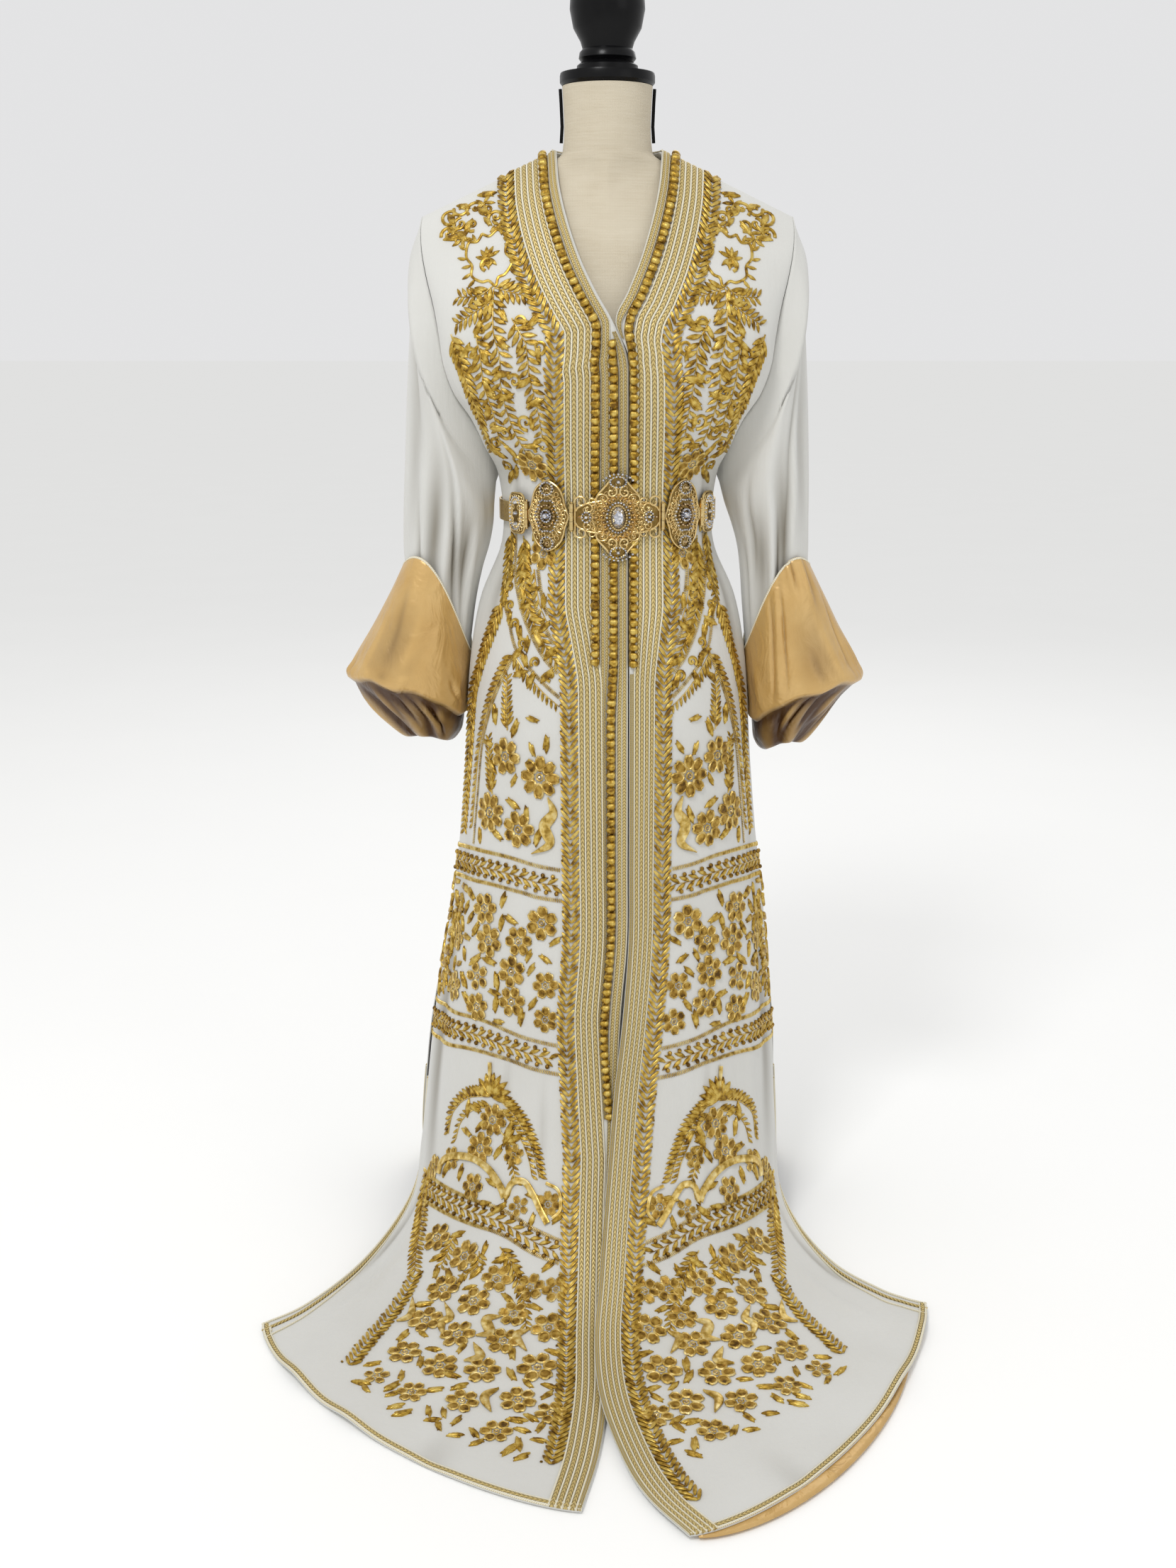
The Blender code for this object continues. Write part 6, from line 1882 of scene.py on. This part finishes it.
@dataclass
class Body:
    """The three panels, the sleeves and the cuffs."""

    shapes: Shapes
    finishes: Wardrobe

    def build(self) -> None:
        """Make every piece of cloth with what is sewn on it."""
        for side in Side:
            self.front(side)
        self.back()
        for side in Side:
            self.sleeve(side)
            self.cuff(side)
        self.lining()

    def front(self, side: Side) -> None:
        """One front panel with its trims and embroidery."""
        panel = Panel(side)
        piece = cloth("front_cloth_" + side.word, panel, np.linspace(0, 1, 84),
                      np.linspace(0, panel.last, 160), self.finishes.crepe, WALL, flip=side is Side.LEFT)
        settle(piece, "ivory_crepe", "front_" + side.word)
        sewn = Trim(side, panel, self.shapes, self.finishes).sew()
        sewn += Embroidery(side, panel, self.shapes, self.finishes).sew()

    def back(self) -> None:
        """The back with the braid round the neck and along the hem."""
        panel = BackPanel()
        piece = cloth("back_cloth", panel, np.linspace(-1, 1, 92), np.linspace(0, panel.last, 110),
                      self.finishes.crepe, WALL, flip=True)
        settle(piece, "ivory_crepe", "back")
        gold, cream = Bundle(panel, True), Bundle(panel, True)
        across, rows = np.linspace(-0.295, 0.295, 60), np.linspace(0.0, 3.0, 90)
        lines = panel.smooth(across[None, :], rows[:, None])
        run = np.cumsum(np.linalg.norm(np.diff(lines, axis=0, prepend=lines[:1]), axis=2), axis=0)
        for k, distance in enumerate(np.linspace(0.0015, 0.0285, 9)):
            bundle, width = (cream, 0.0022) if k % 2 == 0 else (gold, 0.0056)
            down = np.array([np.interp(distance, run[:, j], rows) for j in range(60)])
            bundle.rope(across, down, width, 0.0020, 0.0022)
        edging(panel, gold, cream, 200, 50)
        sewn = [settle(gold.made("braid_gold_back", self.finishes.gold_braid), "gold_braid", "braid_band_neck"),
                settle(cream.made("braid_cream_back", self.finishes.cream_cord), "gold_braid")]

    def sleeve(self, side: Side) -> None:
        """A sleeve with the chain stitch along its armhole and underside."""
        surface = Sleeve(side)
        rings = np.concatenate((np.linspace(0, 1, 9), np.linspace(1, 7, 66)[1:]))
        piece = cloth("sleeve_cloth_" + side.word, surface, np.linspace(0, 360, 133)[:-1], rings,
                      self.finishes.crepe, WALL, wrap=True, flip=side is Side.LEFT)
        settle(piece, "ivory_crepe", "sleeve_" + side.word)
        chain = Bundle(surface, side is Side.LEFT)
        loop = Route(surface, np.linspace(2, 358, 160), np.full(160, 0.16))
        u, v, turn = loop.even(0.0044)
        chain.lay(self.shapes.stitch, u, v, turn, 1.35, 0.0001)
        under = Route(surface, np.linspace(168, 160, 60), np.linspace(0.3, 6.9, 60))
        u, v, turn = under.even(0.0044)
        chain.lay(self.shapes.stitch, u, v, turn, 1.0, 0.0001)
        line = settle(chain.made("chain_stitch_" + side.word, self.finishes.cream_cord), "ivory_crepe")

    def cuff(self, side: Side) -> None:
        """A turned-back satin cuff."""
        surface = Cuff(side)
        rows = np.concatenate((np.linspace(0, 3.7, 30)[:-1], np.linspace(3.7, 4.8, 21), np.linspace(4.8, 9, 32)[1:]))
        piece = cloth("cuff_cloth_" + side.word, surface, np.linspace(0, 360, 181)[:-1], rows,
                      self.finishes.satin, SATIN_WALL, wrap=True, flip=side is Side.LEFT)
        settle(piece, "gold_satin", "cuff_" + side.word)
        piping = Bundle(surface, side is Side.LEFT)
        piping.rope(np.linspace(0, 360, 160), np.full(160, 0.03), 0.0030, 0.0026, -0.0002)
        edge = settle(piping.made("piping_" + side.word, self.finishes.cream_cord), "ivory_crepe")

    def lining(self) -> None:
        """Satin lining that shows past the right hem."""
        panel = Panel(Side.RIGHT)
        places = np.linspace(0.05, 0.86, 60)
        edge = panel.smooth(places, np.full(60, panel.last))
        way = np.gradient(edge, axis=0)
        out = unit(np.stack((way[:, 1], -way[:, 0], 0 * way[:, 0]), axis=-1))
        reach = 0.018 * np.sin(math.pi * np.minimum(places / 0.72, 1.0)) ** 0.8 - 0.004
        height = np.array((0.0, 0.0, 1.0)) * 0.0041
        level = np.array((1.0, 1.0, 0.0))
        lines = [edge * level + out * (-0.030 + (reach[:, None] + 0.030) * share) + height
                 for share in np.linspace(0, 1, 8)]
        item = mesh_object("lining_cloth_right", np.concatenate(lines), grid_faces(8, 60), self.finishes.satin)
        thicken(item, WALL)
        settle(item, "gold_satin", "lining_edge_right")


@dataclass
class Belt:
    """Hinged gilt belt with pierced medallions and cut stones."""

    finishes: Wardrobe
    waist: Waist = field(default_factory=Waist)
    side_at: float = 0.0838           # distances from the belt's middle along the waist
    inner_hinge_at: float = 0.0535
    outer_hinge_at: float = 0.1141
    end_at: float = 0.1322

    def build(self) -> None:
        """Make the metalwork and the stones."""
        self.metal, self.ground, self.stones, self.blush = (Bundle(self.waist, True) for _ in range(4))
        self.wire_shapes()
        self.centre()
        for hand in (-1, 1):
            self.medallion(hand * self.side_at)
            self.link(hand * self.inner_hinge_at)
            self.link(hand * self.outer_hinge_at)
            self.end(hand * self.end_at)
        nodes = ["belt_centre"] + [f"belt_{kind}_{side.word}" for side in Side
                                   for kind in ("side", "end", "hinge_inner", "hinge_outer")]
        settle(self.metal.made("belt_metalwork", self.finishes.gilt, 40), "belt_metal", *nodes)
        # dark sheet under the openwork: painted shade in the pierced holes
        settle(self.ground.made("belt_painted_recess_shade_plate", self.finishes.ground, 40), "belt_metal")
        settle(self.stones.made("belt_clear_stones", self.finishes.clear, 10), "crystal")
        settle(self.blush.made("belt_champagne_stones", self.finishes.champagne, 10), "crystal")

    def wire_shapes(self) -> None:
        """Model the parts that repeat."""
        self.stone = faceted(0.0032, 0.0032, 0.0022)
        self.big_stone = faceted(0.0062, 0.0062, 0.0034, 10)
        self.jewel = faceted(0.0126, 0.0200, 0.0052, 14)
        self.bead = rounded(6, 4, (0.0022, 0.0022, 0.0020))
        self.ring = ringed(0.0030, 0.0007, 12, 4)

    def wire(self, x: Array, z: Array, width: float = 0.0016, height: float = 0.0016, lift: float = 0.0030) -> None:
        """A wire that runs through flat places, x along the waist and z up."""
        self.metal.rope(np.asarray(x), -np.asarray(z), width, height, lift)

    def curl(self, x: float, z: float, radius: float, start: float, hand: int, turns: float = 1.2,
             lift: float = 0.0030, width: float = 0.0016) -> None:
        """A flat scroll of wire."""
        t = np.linspace(0, 1, 22)
        angle = math.radians(start) + hand * t * turns * 2 * math.pi
        reach = radius * (1 - 0.80 * t)
        self.wire(x + reach * np.cos(angle), z + reach * np.sin(angle), width, 0.0016, lift)

    def oval(self, x: float, z: float, rx: float, rz: float, count: int, shape: Prototype, bundle: Bundle,
             lift: float, lobes: float = 0.0, number: int = 4) -> None:
        """Stones or beads round an oval with lobes."""
        angles = np.linspace(0, 2 * math.pi, count, endpoint=False)
        swell = 1 + lobes * np.cos(number * angles)
        bundle.lay(shape, x + rx * swell * np.cos(angles), -(z + rz * swell * np.sin(angles)), 0.0, 1.0, lift)

    def base(self, x: float, rx: float, rz: float, power: float, lobes: float, number: int) -> None:
        """Base plate under the pierced work: a domed dark sheet with a lobed outline, painted shade in the holes of
        the openwork.
        """
        steps, rings = 56, (0.0, 0.35, 0.7, 0.92, 1.0, 1.0)
        angles = np.linspace(0, 2 * math.pi, steps, endpoint=False)
        c, s = np.abs(np.cos(angles)) / rx, np.abs(np.sin(angles)) / rz
        radius = (c**power + s**power) ** (-1 / power) * (1 + lobes * np.cos(number * angles))
        lifts = (0.0042, 0.0040, 0.0036, 0.0030, 0.0024, 0.0003)
        us = np.stack([x + radius * share * np.cos(angles) for share in rings[1:]])
        vs = np.stack([-radius * share * np.sin(angles) for share in rings[1:]])
        points = [self.waist.point(np.array([x]), np.array([0.0]), lifts[0])]
        for row in range(len(rings) - 1):
            points.append(self.waist.point(us[row], vs[row], lifts[row + 1]))
        stacked = np.concatenate(points)
        faces: Faces = [(0, 1 + k, 1 + (k + 1) % steps) for k in range(steps)]
        faces += [tuple(1 + k for k in face) for face in grid_faces(len(rings) - 1, steps, wrap=True)]
        faces.append(tuple(1 + (len(rings) - 2) * steps + k for k in reversed(range(steps))))
        self.ground.add(stacked, faces, np.zeros((len(stacked), 2)))
        rim = np.append(np.arange(steps), 0)
        self.metal.rope(us[-1][rim], vs[-1][rim], 0.0024, 0.0022, 0.0016)
        for share, gap in ((0.80, 2), (0.62, 2)):
            ring = np.arange(0, steps, gap)
            self.metal.lay(self.ring, x + (us[-1][ring] - x) * share, vs[-1][ring] * share, 0.0, 0.85, 0.0034)

    def centre(self) -> None:
        """Middle medallion: oval jewel in rings of stones, scrolls and two wings."""
        self.base(0.0, 0.029, 0.046, 1.7, 0.03, 8)
        self.base(0.0, 0.049, 0.019, 3.0, 0.02, 6)
        self.stones.lay(self.jewel, [0.0], [0.0], 0.0, 1.25, 0.0062)
        self.oval(0, 0, 0.0094, 0.0140, 28, self.bead, self.metal, 0.0058)
        self.oval(0, 0, 0.0125, 0.0172, 24, self.stone, self.stones, 0.0050)
        self.oval(0, 0, 0.0165, 0.0230, 26, self.ring, self.metal, 0.0040, 0.06, 8)
        self.oval(0, 0, 0.0170, 0.0236, 26, self.stone, self.blush, 0.0046, 0.06, 8)
        self.oval(0, 0, 0.0225, 0.0310, 40, self.bead, self.metal, 0.0036, 0.08, 8)
        for up in (-1, 1):
            for k, angle in enumerate(np.linspace(35, 145, 9)):
                a = math.radians(angle)
                x, z = 0.0200 * math.cos(a), up * (0.0330 + 0.0165 * math.sin(a))
                self.stones.lay(self.stone, [x], [-z], 0.0, 1.15, 0.0042)
            self.oval(0.0, up * 0.0405, 0.0090, 0.0060, 14, self.stone, self.stones, 0.0046)
            self.stones.lay(self.big_stone, [0.0], [-up * 0.0405], 0.0, 0.8, 0.0050)
            for hand in (-1, 1):
                self.curl(hand * 0.0075, up * 0.0290, 0.0070, 90 * up, hand * up, 1.1, 0.0046, 0.0022)
                self.curl(hand * 0.0190, up * 0.0200, 0.0080, 180 if hand > 0 else 0, -hand * up, 1.2)
        for hand in (-1, 1):
            for up in (-1, 1):
                self.curl(hand * 0.0420, up * 0.0170, 0.0080, 0 if hand > 0 else 180, hand * up, 1.1, 0.0030, 0.0022)
                self.curl(hand * 0.0340, up * 0.0100, 0.0058, 90, hand * up, 1.1)
                self.curl(hand * 0.0300, up * 0.0185, 0.0055, -90 * up, -hand * up, 1.1)
            self.wire([hand * 0.0490] * 6, np.linspace(-0.0230, 0.0230, 6), 0.0022, 0.0022, 0.0026)
            self.oval(hand * 0.0360, 0.0, 0.0048, 0.0060, 10, self.stone, self.stones, 0.0036)
            self.stones.lay(self.big_stone, [hand * 0.0360], [0.0], 0.0, 0.75, 0.0040)
            self.blush.lay(self.stone, [hand * 0.0265, hand * 0.0440], [0.0, 0.0], 0.0, 1.2, 0.0040)

    def medallion(self, x: float) -> None:
        """Side medallion: lobed lozenge set with rings of stones."""
        self.base(x, 0.0255, 0.0420, 1.6, 0.04, 6)
        self.stones.lay(self.big_stone, [x], [0.0], 0.0, 1.25, 0.0060)
        self.oval(x, 0, 0.0060, 0.0068, 14, self.stone, self.stones, 0.0054)
        self.oval(x, 0, 0.0100, 0.0125, 18, self.stone, self.blush, 0.0048)
        self.oval(x, 0, 0.0140, 0.0185, 26, self.stone, self.stones, 0.0040, 0.07, 6)
        self.oval(x, 0, 0.0185, 0.0250, 30, self.bead, self.metal, 0.0036, 0.08, 6)
        for up in (-1, 1):
            self.oval(x, up * 0.0315, 0.0080, 0.0072, 14, self.stone, self.stones, 0.0040)
            self.blush.lay(self.big_stone, [x], [-up * 0.0315], 0.0, 0.75, 0.0044)
            for hand in (-1, 1):
                self.curl(x + hand * 0.0175, up * 0.0125, 0.0062, 90 * up, hand * up, 1.1)
                self.curl(x + hand * 0.0215, up * 0.0040, 0.0042, 0 if hand > 0 else 180, hand * up, 1.0)

    def link(self, x: float) -> None:
        """Hinge between two plates: an upright barrel of three knuckles with a pin."""
        for low, high in ((-0.0150, -0.0055), (-0.0050, 0.0050), (0.0055, 0.0150)):
            z = np.linspace(low, high, 4)
            self.wire([x] * 4, z, 0.0052, 0.0050, 0.0004)
        self.metal.lay(self.bead, [x, x], [-0.0162, 0.0162], 0.0, 1.2, 0.0016)

    def end(self, x: float) -> None:
        """Small end plate with a frame, scrolls and stones."""
        self.base(x, 0.0148, 0.0235, 4.0, 0.0, 4)
        self.stones.lay(self.big_stone, [x] * 3, [-0.0125, 0.0, 0.0125], 0.0, 0.9, 0.0040)
        self.oval(x, 0, 0.0112, 0.0190, 26, self.stone, self.stones, 0.0036)
        for up in (-1, 1):
            for hand in (-1, 1):
                self.curl(x + hand * 0.0060, up * 0.0064, 0.0036, 90, hand * up, 1.0)


@dataclass
class DressForm:
    """Limbless torso covered in linen, with a turned cap, on a pole and a round base."""

    finishes: Wardrobe
    steps: int = 80

    def build(self, nodes: dict[str, Item]) -> None:
        """Make the torso and the cap, and give the stand its finish."""
        self.torso()
        self.cap()
        for name, material in (("form_pole", self.finishes.steel), ("form_base", self.finishes.steel),
                               ("belt_strap_back", self.finishes.gilt),
                               ("form_piping_left", self.finishes.black_cord),
                               ("form_piping_right", self.finishes.black_cord)):
            for slot in nodes[name].material_slots:
                slot.material = material

    def torso(self) -> None:
        """Smooth stack of rings with a flat top and bottom."""
        table = np.array(TORSO)
        rows = spline_rows(table, np.linspace(0, len(TORSO) - 1, 81))
        angles = np.linspace(0, 2 * math.pi, self.steps, endpoint=False)
        c, s = np.cos(angles)[None, :], np.sin(angles)[None, :]
        z, half, front, back, roundness = (rows[:, k][:, None] for k in range(5))
        x = np.copysign(np.abs(c) ** (2 / roundness), c) * half
        y = np.copysign(np.abs(s) ** (2 / roundness), s) * np.where(s > 0, back, front)
        points = np.stack((x, y, z + 0 * x), axis=-1).reshape(-1, 3)
        n = self.steps
        faces = grid_faces(len(rows), n, wrap=True)
        faces += [tuple(range(n)), tuple(reversed(range((len(rows) - 1) * n, len(rows) * n)))]
        item = mesh_object("torso_linen", points, faces, self.finishes.linen)
        only(item)
        bpy.ops.object.shade_smooth_by_angle(angle=math.radians(40))
        settle(item, "form_linen", "form_torso")

    # Turned profile of the cap, radius and height from the flange up to the tip.
    CAP = ((0.0520, 1.3886), (0.0548, 1.3920), (0.0548, 1.3990), (0.0540, 1.4020), (0.0360, 1.4030),
           (0.0350, 1.4100), (0.0300, 1.4140), (0.0330, 1.4180), (0.0320, 1.4240), (0.0285, 1.4280),
           (0.0310, 1.4360), (0.0390, 1.4500), (0.0430, 1.4700), (0.0420, 1.4880), (0.0340, 1.5100),
           (0.0200, 1.5250), (0.0085, 1.5310), (0.0120, 1.5380), (0.0090, 1.5440), (0.0010, 1.5460))

    def cap(self) -> None:
        """Turn the cap: a disc extruded upwards and resized step by step."""
        radius, height = self.CAP[0]
        item = added(bpy.ops.mesh.primitive_circle_add, vertices=64, radius=radius, fill_type="NGON",
                     location=(0, 0, height))
        item.name = "cap_lacquer"
        bpy.ops.object.transform_apply(location=True, rotation=True, scale=True)
        bpy.ops.object.mode_set(mode="EDIT")
        bpy.ops.mesh.select_all(action="SELECT")
        for (before, low), (after, high) in zip(self.CAP, self.CAP[1:]):
            bpy.ops.mesh.extrude_region_move(TRANSFORM_OT_translate={"value": (0, 0, high - low)})
            share = after / before
            bpy.ops.transform.resize(value=(share, share, 1.0), center_override=(0.0, 0.0, high))
        bpy.ops.mesh.select_all(action="SELECT")
        bpy.ops.mesh.normals_make_consistent(inside=False)
        bpy.ops.object.mode_set(mode="OBJECT")
        bpy.ops.object.shade_smooth_by_angle(angle=math.radians(38))
        item.data.materials.append(self.finishes.lacquer)
        settle(item, "black_lacquer", "form_cap")


def main() -> None:
    """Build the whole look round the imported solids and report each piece."""
    logging.basicConfig(level=logging.INFO, format="%(name)s: %(message)s")
    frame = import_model()
    bpy.ops.object.select_all(action="DESELECT")
    finishes = Wardrobe()
    Studio().build(finishes)
    shapes = Shapes.modelled()
    Body(shapes, finishes).build()
    Belt(finishes).build()
    DressForm(finishes).build(frame["nodes"])
    bpy.ops.object.select_all(action="DESELECT")


if __name__ == "__main__":
    main()
